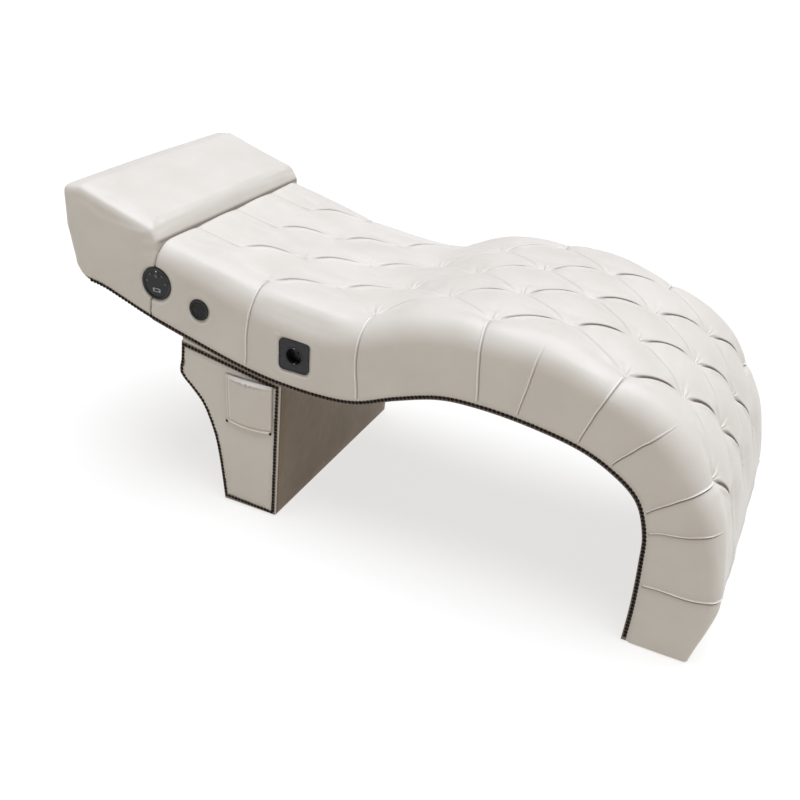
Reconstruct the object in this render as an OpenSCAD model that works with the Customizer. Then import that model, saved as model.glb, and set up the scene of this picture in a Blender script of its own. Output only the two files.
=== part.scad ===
// Curved beauty treatment bed: a wave-shaped tufted couch on a pedestal and its own foot.
// X runs from the head end to the foot, the side with the fittings faces -Y, Z is up.
// The origin is on the floor, under the middle of the bed.

/* [Bed] */
// Overall length, from the head end to the foot
bed_l = 1695; // [1600:5:1800]
// Overall width over the leather sides
bed_w = 660; // [600:2:720]
// Height of the headrest's top above the floor
bed_h = 768; // [740:1:800]
// Height of the nylon glides under the foot and the pedestal
glide_h = 4; // [3:0.5:6]

/* [Upholstery] */
// Thickness of the tufted foam over the hump
foam_t = 78; // [66:1:84]
// Thickness of the padded leather on the sides
side_t = 12; // [9:0.5:15]
// Thickness of a plain leather skin
skin_t = 2; // [1:0.5:3]
// Distance between the tufts of one row
tuft_pitch = 285; // [240:5:320]
// Distance between neighbouring rows of tufts
tuft_row = 86; // [76:1:88]
// Distance from the headrest to the first tufts
tuft_start = 122.5; // [100:0.5:140]
// Depth of the tufts
tuft_depth = 20; // [8:1:26]
// Depth of the pull creases down the sides
crease_depth = 3; // [0:0.5:4]
// How far the crown of the headrest rises in the middle
headrest_crown = 5; // [0:0.5:10]
// Rounding of the headrest's long edges
headrest_edge_r = 18; // [12:1:32]

/* [Frame] */
// Thickness of the plywood side panels
panel_t = 18; // [15:1:20]
// Thickness of the bent plywood deck
deck_t = 6; // [4:0.5:8]
// Thickness of the bent plywood under the bed
under_t = 5; // [3:0.5:6]
// Width of a cross rail
rail_w = 28; // [20:1:36]
// Height of a cross rail
rail_h = 60; // [40:1:66]

/* [Nail trim] */
// Width across a nail head
nail_d = 9.3; // [7:0.1:9.3]
// Height of a nail's dome
nail_rise = 3; // [2:0.1:3.5]
// Distance from nail to nail
nail_pitch = 9.7; // [9.7:0.1:16]
// Distance from the leather's edge to the middle of the nails
nail_in = 6.5; // [5.5:0.1:9]

/* [Pedestal] */
// How far each side of the pedestal stands back from the bed's side
ped_in = 3; // [1:0.5:12]
// Thickness of the pedestal's padded side covers
ped_cover_t = 10; // [8:0.5:14]
// Thickness of the pedestal's side panels
ped_panel_t = 15; // [12:1:18]
// Thickness of the pedestal's front and back boards
ped_board_t = 9; // [6:0.5:12]
// Thickness of the pedestal's bottom board
ped_base_t = 18; // [12:1:22]
// Thickness of the bolts that hold the bed on the pedestal
bolt_d = 8; // [6:1:10]

/* [Control panel] */
// Outside width of the round control panel
panel_d = 83; // [76:1:90]
// Travel of the power button
button_travel = 1; // [0.6:0.1:1.4]
// Travel of the small keys
key_travel = 0.8; // [0.4:0.1:1.1]
// Width of the power button
button_d = 10; // [8:0.5:12]
// Width of a small key
key_d = 6.4; // [5:0.1:7]

/* [Speaker] */
// Outside width of the speaker's rim
speaker_d = 53; // [48:1:60]

/* [Mains socket] */
// Side of the square socket plate
plate_w = 80; // [76:1:84]
// Width of the round plug recess
recess_d = 40; // [39:0.5:41]
// Depth of the plug recess
recess_depth = 17.5; // [16:0.5:20]
// Distance between the two pin holes
pin_pitch = 19; // [18:0.5:20]
// Width of a pin hole
pin_hole_d = 5.4; // [5:0.1:6]
// Angle the safety shutter turns to open
shutter_turn = 45; // [42:1:52]

/* [Hidden] */

leather = [0.88, 0.86, 0.83];
dark_leather = [0.72, 0.69, 0.65];
plywood = [0.80, 0.66, 0.46];
softwood = [0.86, 0.74, 0.53];
black = [0.07, 0.07, 0.08];
charcoal = [0.17, 0.17, 0.18];
bronze = [0.13, 0.11, 0.10];
steel = [0.72, 0.73, 0.75];
brass = [0.82, 0.68, 0.36];
circuit = [0.06, 0.28, 0.16];

// Gap left between a soft piece and what it lies on
fit_gap = 0.3;
// Overrun of every cut
over = 1;
// Tuft rows on each side of the middle row
outer_row = 3;
// Parts that one distance between tufts is divided into
cells_per_pitch = 8;
// Length of plain leather left at the floor end
plain_foot = 300;
// Sections of the plain foot
foot_sections = 5;

half_w = bed_w / 2;
inner_half = half_w - side_t - fit_gap;
rail_half = inner_half - panel_t;
half_pitch = tuft_pitch / 2;
cell = tuft_pitch / cells_per_pitch;

// The bed's wave, head to floor: bottom edge x and z, deck x and z, as shares of the length and
// the height above the glides, the foam over the deck as a share of its full thickness, and the
// rounding of the foam's long edges as a share of the foam there
wave_shares = [
    [-0.458, 0.677, -0.489, 0.852, 0.62, 0.90],
    [-0.431, 0.665, -0.444, 0.843, 0.62, 0.90],
    [-0.392, 0.635, -0.391, 0.827, 0.62, 0.90],
    [-0.353, 0.606, -0.338, 0.807, 0.62, 0.90],
    [-0.274, 0.560, -0.253, 0.765, 0.72, 0.90],
    [-0.207, 0.525, -0.181, 0.724, 0.82, 0.90],
    [-0.146, 0.504, -0.115, 0.703, 0.90, 0.90],
    [-0.073, 0.498, -0.057, 0.689, 0.95, 0.90],
    [-0.017, 0.513, -0.013, 0.698, 0.97, 0.90],
    [ 0.040, 0.565,  0.047, 0.747, 1.00, 0.90],
    [ 0.099, 0.608,  0.102, 0.768, 1.00, 0.90],
    [ 0.151, 0.617,  0.155, 0.772, 1.00, 0.90],
    [ 0.216, 0.608,  0.224, 0.766, 1.00, 0.90],
    [ 0.286, 0.581,  0.301, 0.720, 1.00, 0.90],
    [ 0.333, 0.537,  0.357, 0.667, 1.00, 0.90],
    [ 0.369, 0.474,  0.399, 0.589, 1.00, 0.85],
    [ 0.386, 0.379,  0.431, 0.471, 0.97, 0.72],
    [ 0.390, 0.279,  0.451, 0.346, 0.90, 0.56],
    [ 0.392, 0.137,  0.468, 0.175, 0.69, 0.40],
    [ 0.391, 0.000,  0.456, 0.000, 0.49, 0.26]
];
// Number of the row where the headrest ends and the tufted foam starts
joint_row = 3;
last_row = len(wave_shares) - 1;
head_steps = 4;

// A smooth curve through the rows of a table
function table_row(p, i) = let (n = len(p) - 1)
    i < 0 ? 2 * p[0] - p[1] : i > n ? 2 * p[n] - p[n - 1] : p[i];
function smooth(p, t) = let (
    i = max(0, min(floor(t), len(p) - 2)), u = t - i,
    a = table_row(p, i - 1), b = table_row(p, i), c = table_row(p, i + 1), d = table_row(p, i + 2))
    (2 * b + (c - a) * u + (2 * a - 5 * b + 4 * c - d) * u * u + (3 * b - a - 3 * c + d) * u * u * u) / 2;
function unit(v) = v / norm(v);
function turned(v, a) = [v[0] * cos(a) - v[1] * sin(a), v[0] * sin(a) + v[1] * cos(a)];
function clamp(v, low, high) = max(low, min(high, v));
function backwards(p) = [for (i = [len(p) - 1 : -1 : 0]) p[i]];

// Real place of a share of the length and the height
function place(sx, sz) = [sx * bed_l, glide_h + sz * (bed_h - glide_h)];
function under(t) = let (s = smooth(wave_shares, t)) place(s[0], s[1]);
function deck_line(t) = let (s = smooth(wave_shares, t)) place(s[2], s[3]);
function foam(t) = foam_t * smooth(wave_shares, t)[4];
function edge_r(t) = foam(t) * smooth(wave_shares, t)[5];
// Direction from the bottom edge to the deck
function across(t) = unit(deck_line(t) - under(t));
function up_from_under(t, d) = under(t) + d * across(t);
function up_from_deck(t, d) = deck_line(t) + d * across(t);
function crown_line(t) = up_from_deck(t, foam(t));

// Length along a line, as a table to look up
fine = 12;
function with_length(p) = let (n = len(p))
    [for (i = 0, d = 0; i < n; d = i + 1 < n ? d + norm(p[i + 1] - p[i]) : d, i = i + 1) d];
body_fine = [for (i = [0 : (last_row - joint_row) * fine]) joint_row + i / fine];
whole_fine = [for (i = [0 : last_row * fine]) i / fine];
crown_lengths = with_length([for (t = body_fine) crown_line(t)]);
crown_table = [for (i = [0 : len(body_fine) - 1]) [crown_lengths[i], body_fine[i]]];
crown_l = crown_lengths[len(body_fine) - 1];
function t_at(s) = lookup(s, crown_table);

// Cross-sections of the tufted foam: each tuft falls on one
lead_cells = floor(tuft_start / cell);
tuft_halves = floor((crown_l - plain_foot - tuft_start) / half_pitch);
last_cell = tuft_halves * cells_per_pitch / 2 + outer_row;
tufted_s = [for (k = [-lead_cells : last_cell]) tuft_start + k * cell];
plain_from = tufted_s[len(tufted_s) - 1];
section_s = concat([0], tufted_s, [for (i = [1 : foot_sections]) plain_from + (crown_l - plain_from) * i / foot_sections]);
body_t = [for (s = section_s) t_at(s)];
head_t = [for (i = [0 : joint_row * head_steps]) i / head_steps];
whole_t = concat([for (i = [0 : joint_row * head_steps - 1]) i / head_steps], body_t);

// A wall that follows the wave between two lines, and its full or partial width
module wave_wall(low, high, y0, y1) {
    translate([0, y1, 0])
        rotate([90, 0, 0])
            linear_extrude(y1 - y0)
                polygon(concat(low, backwards(high)));
}

// A flat-ended plate with its profile in X and Z, between two places across the bed
module profile_plate(points, y0, y1) {
    translate([0, y1, 0])
        rotate([90, 0, 0])
            linear_extrude(y1 - y0)
                polygon(points);
}

// Faces that join the rings of a tube-shaped skin, rings lying one after another
function ring_faces(rings, n) = [for (r = [0 : rings - 2], i = [0 : n - 1]) let (j = (i + 1) % n)
    each [[r * n + i, r * n + j, (r + 1) * n + j], [r * n + i, (r + 1) * n + j, (r + 1) * n + i]]];

// Depth of the tufting at a length s and a distance y from the middle, 0 on top of a pillow
function pillow(p, q) = let (a = abs(sin(180 * p)), b = abs(sin(180 * q)))
    0.45 * max(a, b) + 0.55 * pow(a * b, 0.6);
function tuft_fall(s, y) = let (
    along = (s - tuft_start) / half_pitch,
    row = clamp(y / tuft_row, -outer_row, outer_row),
    a = clamp(along, 0, tuft_halves),
    past = max(0, along - tuft_halves),
    side = max(0, abs(y) / tuft_row - outer_row),
    fade = max(0, 1 - 1.4 * past) * (1 - 0.75 * min(1, side)))
    tuft_depth * fade * (1 - pillow((a + row) / 2, (a - row) / 2));

// Across the foam: flat columns at the rows and between them, then a rounded edge
edge_angles = [40, 66, 90];
flat_cols = [for (j = [-2 * outer_row : 2 * outer_row]) j * tuft_row / 2];
function edge_cols(t) = let (r = edge_r(t)) [for (a = edge_angles) [half_w - r + r * sin(a), r - r * cos(a)]];
function flat_fall(y, r) = let (e = max(0, abs(y) - (half_w - r))) r - sqrt(r * r - e * e);
function foam_section(s, t) = let (r = edge_r(t), e = edge_cols(t)) concat(
    [[-half_w, foam(t)]],
    [for (i = [len(e) - 1 : -1 : 0]) [-e[i][0], e[i][1]]],
    [for (y = flat_cols) [y, flat_fall(y, r)]],
    [for (c = e) c],
    [[half_w, foam(t)]]);
function foam_ring(s, t) = let (r = foam(t), sec = foam_section(s, t), n = len(sec)) [
    for (k = [0 : n - 1]) let (
        y = sec[k][0],
        on_side = abs(y) > half_w - fit_gap,
        fall = sec[k][1] + (on_side ? 0 : tuft_fall(s, y) * (abs(y) < half_w - edge_r(t) ? 1 : 0.8)),
        p = up_from_deck(t, max(r - fall, fit_gap)))
    [p[0], y, p[1]]];

module mattress() {
    rings = [for (i = [0 : len(section_s) - 1]) foam_ring(section_s[i], body_t[i])];
    n = len(rings[0]);
    m = len(rings);
    color(leather)
        polyhedron(
            points = [for (r = rings, p = r) p],
            faces = concat(ring_faces(m, n),
                [for (i = [1 : n - 2]) [0, i + 1, i]],
                [for (i = [1 : n - 2]) [(m - 1) * n, (m - 1) * n + i, (m - 1) * n + i + 1]]));
}

// Side view of the headrest block, as shares of the length and the height, with corner radii
headrest_shares = [
    [-0.4985, 0.853], [-0.4990, 0.992], [-0.466, 1.002], [-0.345, 0.920], [-0.3337, 0.869], [-0.3382, 0.808]
];
headrest_radii = [0, 20, 0, 16, 0, 0];
corner_steps = 4;

// An outline with its corners rounded
function corner(a, b, c, r, n) = r == 0 ? [b] : let (
    u = unit(a - b), w = unit(c - b), half = acos(clamp(u * w, -1, 1)) / 2,
    mid = b + unit(u + w) * r / sin(half),
    from = b + u * r / tan(half) - mid, to = b + w * r / tan(half) - mid,
    way = from[0] * to[1] - from[1] * to[0] > 0 ? 1 : -1)
    [for (i = [0 : n]) mid + turned(from, way * (180 - 2 * half) * i / n)];
function rounded_path(p, r, n) = let (m = len(p))
    [for (i = [0 : m - 1]) each corner(p[(i + m - 1) % m], p[i], p[(i + 1) % m], r[i], n)];

// The outline moved inwards by d, all but its first and last points, which stay on the base
function inwards(p, i, d) = let (n = len(p),
    a = p[max(i - 1, 0)], c = p[min(i + 1, n - 1)], way = unit(c - a))
    i == 0 ? p[i] + [d / 2, 0] : i == n - 1 ? p[i] : p[i] + d * [way[1], -way[0]];

headrest_outline = rounded_path([for (p = headrest_shares) place(p[0], p[1])], headrest_radii, corner_steps);
headrest_n = len(headrest_outline);
// The base lies on the deck of the head
headrest_base = [for (i = [headrest_n - 2 : -1 : 1]) up_from_deck(joint_row * i / (headrest_n - 1), 2 * fit_gap)];
headrest_angles = [90, 60, 30, 0];
headrest_cols = concat(
    [for (a = headrest_angles) [-(half_w - headrest_edge_r * (1 - sin(a))), headrest_edge_r * (1 - cos(a))]],
    [[0, 0]],
    [for (a = backwards(headrest_angles)) [half_w - headrest_edge_r * (1 - sin(a)), headrest_edge_r * (1 - cos(a))]]);
// Where the headrest's foam rises into its crown: 0 at the base, 1 along the top
function crown_share(p) = clamp((p[1] - place(0, 0.86)[1]) / (place(0, 0.92)[1] - place(0, 0.86)[1]), 0, 1);
function headrest_ring(c) = [for (i = [0 : len(headrest_outline) - 1]) let (
    p = inwards(headrest_outline, i, c[1]),
    rise = headrest_crown * crown_share(p) * (1 - pow(c[0] / half_w, 2)))
    [p[0], c[0], p[1] + rise - headrest_crown * crown_share(p)]];

module headrest() {
    rings = [for (c = headrest_cols) concat(headrest_ring(c), [for (p = headrest_base) [p[0], c[0], p[1]]])];
    n = len(rings[0]);
    m = len(rings);
    cap = concat([[0, n - 1, 1]],
        [for (i = [1 : headrest_n - 3]) each [[i, n - i, i + 1], [i + 1, n - i, n - i - 1]]],
        [[headrest_n - 2, headrest_n, headrest_n - 1]]);
    color(leather)
        polyhedron(
            points = [for (r = rings, p = r) p],
            faces = concat(ring_faces(m, n), cap,
                [for (f = cap) [for (k = backwards(f)) (m - 1) * n + k]]));
}

// Curve of the head end, from the headrest's base down and under, as shares of the length and height
head_end_shares = [
    [-0.4985, 0.851], [-0.496, 0.832], [-0.491, 0.771], [-0.486, 0.723], [-0.476, 0.700]
];
// Rows where the end's leather stops, and where the skin and the panel under the bed start
end_row = 0.08;
skin_row = 0.12;
base_row = 0.24;
head_end_line = concat([for (p = head_end_shares) place(p[0], p[1])], [under(end_row)]);
under_ts = concat([base_row], [for (t = whole_t) if (t > base_row + 0.05) t]);
function line_offset(p, d) = let (n = len(p)) [for (i = [0 : n - 1]) let (
    way = unit(p[min(i + 1, n - 1)] - p[max(i - 1, 0)])) p[i] + d * [-way[1], way[0]]];
head_corner_r = 16;
// Number of the last row that the head's leather reaches
seam_t = joint_row - 0.01;

module head_band() {
    low = [for (t = head_t) if (t > end_row) t < joint_row ? under(t) : under(seam_t)];
    high = [for (t = head_t) t < joint_row ? deck_line(t) : deck_line(seam_t)];
    cut_t = concat([-end_row], head_t);
    border = [for (t = cut_t) up_from_under(t, flat_edge)];
    outline = concat(head_end_line, low, backwards(high));
    inner = line_offset(head_end_line, side_t);
    end_wall = concat(head_end_line, backwards([for (i = [1 : len(inner) - 1]) inner[i]]),
        [head_end_line[0] + [side_t, 0]]);
    color(leather)
        difference() {
            intersection() {
                union() {
                    profile_plate(outline, -half_w, -half_w + side_t);
                    profile_plate(outline, half_w - side_t, half_w);
                    profile_plate(end_wall, -half_w, half_w);
                }
                translate([head_end_line[0][0], -half_w, 0])
                    linear_extrude(bed_h)
                        rounded_end(bed_l / 2, bed_w, head_corner_r);
            }
            fitting_at(control_at) seat_cut(panel_d / 2, housing_d / 2);
            for (y = [-half_w - over, half_w - edge_sink])
                wave_wall([for (t = cut_t) up_from_under(t, -edge_sink)], border, y, y + edge_sink + over);
        }
}

// A rectangle whose two left corners are round
module rounded_end(l, w, r) {
    translate([r, 0])
        square([l - r, w]);
    translate([0, r])
        square([l, w - 2 * r]);
    for (y = [r, w - r])
        translate([r, y])
            circle(r);
}

// Side covers: leather over thin foam, drawn in along the nails and at the pull creases
edge_sink = 3;
flat_edge = 2 * nail_in;
function crease(s) = let (along = (s - tuft_start) / half_pitch, near = abs(along - (2 * floor(along / 2) + 1)))
    max(0, 1 - near / 0.24);
function cover_ring(s, t, way) = let (
    full = norm(deck_line(t) - under(t)),
    y_in = half_w - side_t,
    dent = crease_depth * crease(s),
    low = under(t), mid = up_from_under(t, (full + flat_edge) / 2),
    band = up_from_under(t, flat_edge), rise = up_from_under(t, 1.8 * flat_edge), high = up_from_deck(t, 0)) [
    [low[0], way * y_in, low[1]],
    [low[0], way * (half_w - edge_sink), low[1]],
    [band[0], way * (half_w - edge_sink), band[1]],
    [rise[0], way * (half_w - 0.3 * edge_sink - 0.5 * dent), rise[1]],
    [mid[0], way * (half_w - 0.7 * dent), mid[1]],
    [high[0], way * half_w, high[1]],
    [high[0], way * y_in, high[1]]];

module side_cover(way) {
    rings = [for (i = [0 : len(section_s) - 1]) cover_ring(section_s[i], body_t[i], way)];
    n = len(rings[0]);
    m = len(rings);
    sides = ring_faces(m, n);
    ends = concat([for (i = [1 : n - 2]) [0, i + 1, i]],
        [for (i = [1 : n - 2]) [(m - 1) * n, (m - 1) * n + i, (m - 1) * n + i + 1]]);
    faces = concat(sides, ends);
    polyhedron(
        points = [for (r = rings, p = r) p],
        faces = way > 0 ? [for (f = faces) backwards(f)] : faces);
}

module side_cover_near() {
    color(leather)
        difference() {
            side_cover(-1);
            fitting_at(control_at) seat_cut(panel_d / 2, housing_d / 2);
            fitting_at(speaker_at) seat_cut(speaker_d / 2, speaker_body_d / 2);
            fitting_at(socket_at) {
                translate([0, 0, -side_t - over])
                    cylinder(h = side_t + 2 * over, d = box_d + 2 * fit_gap);
                linear_extrude(side_t)
                    rounded_square(plate_w + 2 * fit_gap, plate_r);
            }
        }
}

module side_cover_far() {
    color(leather)
        side_cover(1);
}

// Leather under the bed, over a bent plywood panel
module underside_cover() {
    color(dark_leather)
        difference() {
            wave_wall([for (t = concat([skin_row], under_ts)) under(t)],
                [for (t = concat([skin_row], under_ts)) up_from_under(t, skin_t)], -inner_half, inner_half);
            bolt_holes();
            gland_hole();
        }
}

module underside_panel() {
    color(plywood)
        difference() {
            wave_wall([for (t = under_ts) up_from_under(t, skin_t)],
                [for (t = under_ts) up_from_under(t, skin_t + under_t)], -inner_half, inner_half);
            bolt_holes();
            gland_hole();
        }
}

// Plywood side panels: the board starts past the head board and ends at the floor
panel_from = 0.62;
panel_ts = concat([panel_from], [for (t = whole_t) if (t > panel_from + 0.1) t]);
function panel_low(t) = up_from_under(t, skin_t + under_t);
function panel_high(t) = up_from_deck(t, -deck_t);

module side_panel_near() {
    color(plywood)
        difference() {
            wave_wall([for (t = panel_ts) panel_low(t)], [for (t = panel_ts) panel_high(t)],
                -inner_half, -rail_half);
            fitting_at(control_at) round_hole(housing_d / 2 + fit_gap);
            fitting_at(speaker_at) round_hole(speaker_body_d / 2 + fit_gap);
            fitting_at(socket_at) round_hole(box_d / 2 + fit_gap);
        }
}

module side_panel_far() {
    color(plywood)
        wave_wall([for (t = panel_ts) panel_low(t)], [for (t = panel_ts) panel_high(t)],
            rail_half, inner_half);
}

// A hole right through the side, at a fitting
module round_hole(r) {
    translate([0, 0, -side_t - panel_t - 10 * over])
        cylinder(h = side_t + panel_t + 20 * over, r = r);
}

module deck() {
    color(plywood)
        wave_wall([for (t = body_t) up_from_deck(t, -deck_t)], [for (t = body_t) deck_line(t)],
            -inner_half, inner_half);
}

headrest_deck_ts = [for (t = panel_ts) if (t < joint_row - 0.1) t];
module headrest_deck() {
    color(plywood)
        wave_wall([for (t = headrest_deck_ts) up_from_deck(t, -deck_t)],
            [for (t = headrest_deck_ts) deck_line(t)], -inner_half, inner_half);
}

// Board across the head end
board_row = 0.31;
module head_board() {
    ts = [board_row, panel_from - 0.006];
    color(plywood)
        wave_wall([for (t = ts) up_from_under(t, skin_t + under_t + fit_gap)], [for (t = ts) up_from_deck(t, -fit_gap)],
            -inner_half, inner_half);
}

// Cross rails between the side panels: row number and share of the way from the bottom edge to the deck
rail_shares = [[1.1, 0.5], [2.15, 0.5], [7.15, 0.5], [8.9, 0.5], [11.3, 0.52], [13.7, 0.52], [15.4, 0.52], [17.3, 0.5]];
module cross_rails() {
    color(softwood) {
        for (s = rail_shares) {
            p = under(s[0]) + s[1] * (deck_line(s[0]) - under(s[0]));
            d = across(s[0]);
            translate([p[0], 0, p[1]])
                rotate([0, atan2(d[0], d[1]), 0])
                    cube([rail_w, 2 * rail_half, rail_h], center = true);
        }
        for (x = bolt_x)
            difference() {
                bolt_axis(x, 0)
                    translate([-rail_w, -rail_half, 0])
                        cube([2 * rail_w, 2 * rail_half, rail_top(x)]);
                wave_wall([for (t = under_ts) up_from_under(t, -bolt_l)],
                    [for (t = under_ts) up_from_under(t, skin_t + under_t + fit_gap / 3)], -half_w, half_w);
                bolt_holes();
                for (y = [-bolt_y, bolt_y])
                    bolt_axis(x, y)
                        translate([0, 0, rail_top(x) - tee_barrel])
                            cylinder(h = tee_barrel + over, d = tee_d + 2 * bolt_play);
            }
    }
}

// Sole board and glides under the foot
sole_t = 18;
sole_x0 = panel_low(last_row)[0];
sole_x1 = panel_high(last_row)[0];
module foot_sole() {
    color(plywood)
        translate([sole_x0 + 3 * fit_gap, -rail_half, glide_h])
            cube([sole_x1 - sole_x0 - 4 * fit_gap, 2 * rail_half, sole_t]);
}

glide_d = 32;
foot_glide_in = 70;
foot_glide_y = half_w - foot_glide_in;
module glide(x, y) {
    translate([x, y, 0])
        cylinder(h = glide_h, d = glide_d);
}

module foot_glides() {
    color(black)
        for (y = [-foot_glide_y, foot_glide_y])
            glide((sole_x0 + sole_x1) / 2, y);
}

// Nail heads, one dome each, along a line
dome_r = (nail_d * nail_d / 4 + nail_rise * nail_rise) / (2 * nail_rise);
module nail_head(way) {
    rotate([way * 90, 0, 0])
        intersection() {
            translate([0, 0, nail_rise - dome_r])
                sphere(dome_r, $fn = 32);
            cylinder(h = nail_rise + over, d = nail_d + over, $fn = 32);
        }
}

nail_line = [for (t = whole_fine) up_from_under(t, nail_in)];
nail_table = with_length(nail_line);
nail_run = nail_table[len(nail_table) - 1];
nail_count = floor((nail_run - nail_in) / nail_pitch);
nail_lookup_x = [for (i = [0 : len(nail_line) - 1]) [nail_table[i], nail_line[i][0]]];
nail_lookup_z = [for (i = [0 : len(nail_line) - 1]) [nail_table[i], nail_line[i][1]]];
module nail_row(way) {
    color(bronze)
        for (i = [0 : nail_count - 1])
            translate([lookup((i + 0.5) * nail_pitch, nail_lookup_x), -way * (half_w - edge_sink),
                lookup((i + 0.5) * nail_pitch, nail_lookup_z)])
                nail_head(way);
}

module nail_trim_near() {
    nail_row(1);
}

module nail_trim_far() {
    nail_row(-1);
}

// Pedestal: side outline from real places, as shares of its top length and its height
ped_top_x0 = place(-0.3022, 0)[0];
ped_top_x1 = place(-0.1370, 0)[0];
ped_z0 = place(0, 0.556)[1];
ped_z1 = place(0, 0.496)[1];
ped_foot_back = 10;
ped_foot_x1 = ped_top_x1 - ped_foot_back;
ped_l = ped_top_x1 - ped_top_x0;
ped_tilt = atan2(ped_z0 - ped_z1, ped_l);
ped_half = half_w - ped_in;
ped_panel_out = ped_half - ped_cover_t - fit_gap;
ped_board_half = ped_panel_out - ped_panel_t;
// Curved back edge from the top down: x from the top corner and z, as shares of length and height
ped_back_shares = [
    [0.000, 1.000], [-0.010, 0.890], [-0.026, 0.790], [0.085, 0.712], [0.198, 0.632], [0.270, 0.534],
    [0.325, 0.430], [0.362, 0.312], [0.392, 0.172], [0.424, 0.000]
];
ped_rows = 18;
function ped_back(v) = let (s = smooth(ped_back_shares, (1 - v) * (len(ped_back_shares) - 1)))
    [ped_top_x0 + s[0] * ped_l, glide_h + s[1] * (ped_z0 - glide_h)];
function ped_front(v) = [ped_foot_x1 + v * (ped_top_x1 - ped_foot_x1), glide_h + v * (ped_z1 - glide_h)];
ped_vs = [for (i = [0 : ped_rows]) i / ped_rows];

// The side outline moved inwards by d, row by row
function ped_back_in(v, d) = let (
    a = ped_back(max(v - 0.02, 0)), b = ped_back(min(v + 0.02, 1)), way = unit(b - a))
    ped_back(v) + d * [way[1], -way[0]];
function ped_front_in(v, d) = ped_front(v) - [d, 0];
function ped_top_at(x) = ped_z0 + (x - ped_top_x0) * (ped_z1 - ped_z0) / ped_l;
// Points kept under the straight top
function under_top(p) = [for (q = p) [q[0], min(q[1], ped_top_at(q[0]))]];
function ped_inner(d0, d1) = under_top(concat([for (v = ped_vs) ped_back_in(v, d0)],
    backwards([for (v = ped_vs) ped_front_in(v, d1)])));
// Where the boards start behind the leather, and where they end
ped_seat = skin_t + fit_gap / 3;
ped_back_t = ped_seat + ped_board_t;

// A padded side cover: rows up the outline, columns across, flat where the nails go
pad_rise = 3;
ped_border = 2 * nail_in;
function ped_cover_row(v, way) = let (
    a = ped_back(v), b = ped_front(v), w = norm(b - a), u = (b - a) / w,
    lean = w / 1.2 * unit(ped_back(min(v + 0.03, 1)) - ped_back(max(v - 0.03, 0)))[1],
    rim = ped_border / lean, soft = 2 * ped_border / lean, end = ped_border / w,
    low = v * (ped_z1 - glide_h) < 1.5 * ped_border ? 0 : 1,
    top = (1 - v) * (ped_z1 - glide_h) < 1.5 * ped_border ? 0 : 1,
    y = [0, 0, 1, 1, 1, 0, 0], c = [0, rim, soft, (soft + 1 - 2 * end) / 2, 1 - 2 * end, 1 - end, 1])
    concat([for (i = [0 : 6]) let (p = a + c[i] * w * u)
        [p[0], way * (ped_half - pad_rise + pad_rise * y[i] * low * top), p[1]]],
        [[b[0], way * (ped_half - ped_cover_t), b[1]], [a[0], way * (ped_half - ped_cover_t), a[1]]]);
ped_cover_vs = concat([0, ped_border / ped_z1, 2 * ped_border / ped_z1],
    [for (i = [2 : ped_rows - 2]) i / ped_rows],
    [1 - 2 * ped_border / ped_z1, 1 - ped_border / ped_z1, 1]);

module pedestal_cover(way) {
    rings = [for (v = ped_cover_vs) ped_cover_row(v, way)];
    n = len(rings[0]);
    m = len(rings);
    faces = concat(ring_faces(m, n), [for (i = [0 : n - 3]) [n - 1, i + 1, i]],
        [for (i = [0 : n - 3]) [m * n - 1, (m - 1) * n + i, (m - 1) * n + i + 1]]);
    color(leather)
        polyhedron(
            points = [for (r = rings, p = r) p],
            faces = way > 0 ? [for (f = faces) backwards(f)] : faces);
}

module pedestal_cover_near() {
    pedestal_cover(-1);
}

module pedestal_cover_far() {
    pedestal_cover(1);
}

module pedestal_panel_near() {
    color(plywood)
        profile_plate(ped_inner(ped_seat, ped_seat), -ped_panel_out, -ped_board_half - fit_gap / 3);
}

module pedestal_panel_far() {
    color(plywood)
        profile_plate(ped_inner(ped_seat, ped_seat), ped_board_half + fit_gap / 3, ped_panel_out);
}

module pedestal_front_board() {
    color(plywood)
        profile_plate(under_top(concat([for (v = [0, 1]) ped_front_in(v, ped_seat)],
            [for (v = [1, 0]) ped_front_in(v, ped_back_t)])), -ped_board_half, ped_board_half);
}

module pedestal_back_board() {
    color(plywood)
        profile_plate(under_top(concat([for (v = ped_vs) ped_back_in(v, ped_seat)],
            backwards([for (v = ped_vs) ped_back_in(v, ped_back_t)]))), -ped_board_half, ped_board_half);
}

module pedestal_leather() {
    color(dark_leather) {
        profile_plate(under_top(concat([for (v = [0, 1]) ped_front_in(v, 0)],
            [for (v = [1, 0]) ped_front_in(v, skin_t)])), -ped_panel_out, ped_panel_out);
        profile_plate(under_top(concat([for (v = ped_vs) ped_back_in(v, 0)],
            backwards([for (v = ped_vs) ped_back_in(v, skin_t)]))), -ped_panel_out, ped_panel_out);
    }
}

module pedestal_base() {
    x0 = max(ped_back_in(ped_base_t / ped_z0, ped_back_t)[0], ped_back_in(0, ped_back_t)[0]);
    x1 = ped_front_in(0, ped_back_t)[0];
    color(plywood)
        translate([x0 + fit_gap, -ped_board_half, glide_h])
            cube([x1 - x0 - 2 * fit_gap, 2 * ped_board_half, ped_base_t]);
}

// Wedge between the pedestal's straight top and the bed's curved underside
wedge_ts = [for (t = whole_t) if (under(t)[0] > ped_top_x0 + 4 * over && under(t)[0] < ped_top_x1 - 4 * over) t];
wedge_in = 3;
module pedestal_top_plate() {
    wedge_low = [for (t = wedge_ts) [under(t)[0], ped_top_at(under(t)[0]) + fit_gap / 3]];
    color(leather)
        difference() {
            wave_wall([wedge_low[0], wedge_low[len(wedge_low) - 1]], [for (t = wedge_ts) up_from_under(t, -fit_gap / 3)],
                -ped_half + wedge_in, ped_half - wedge_in);
            bolt_holes();
        }
}

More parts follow.
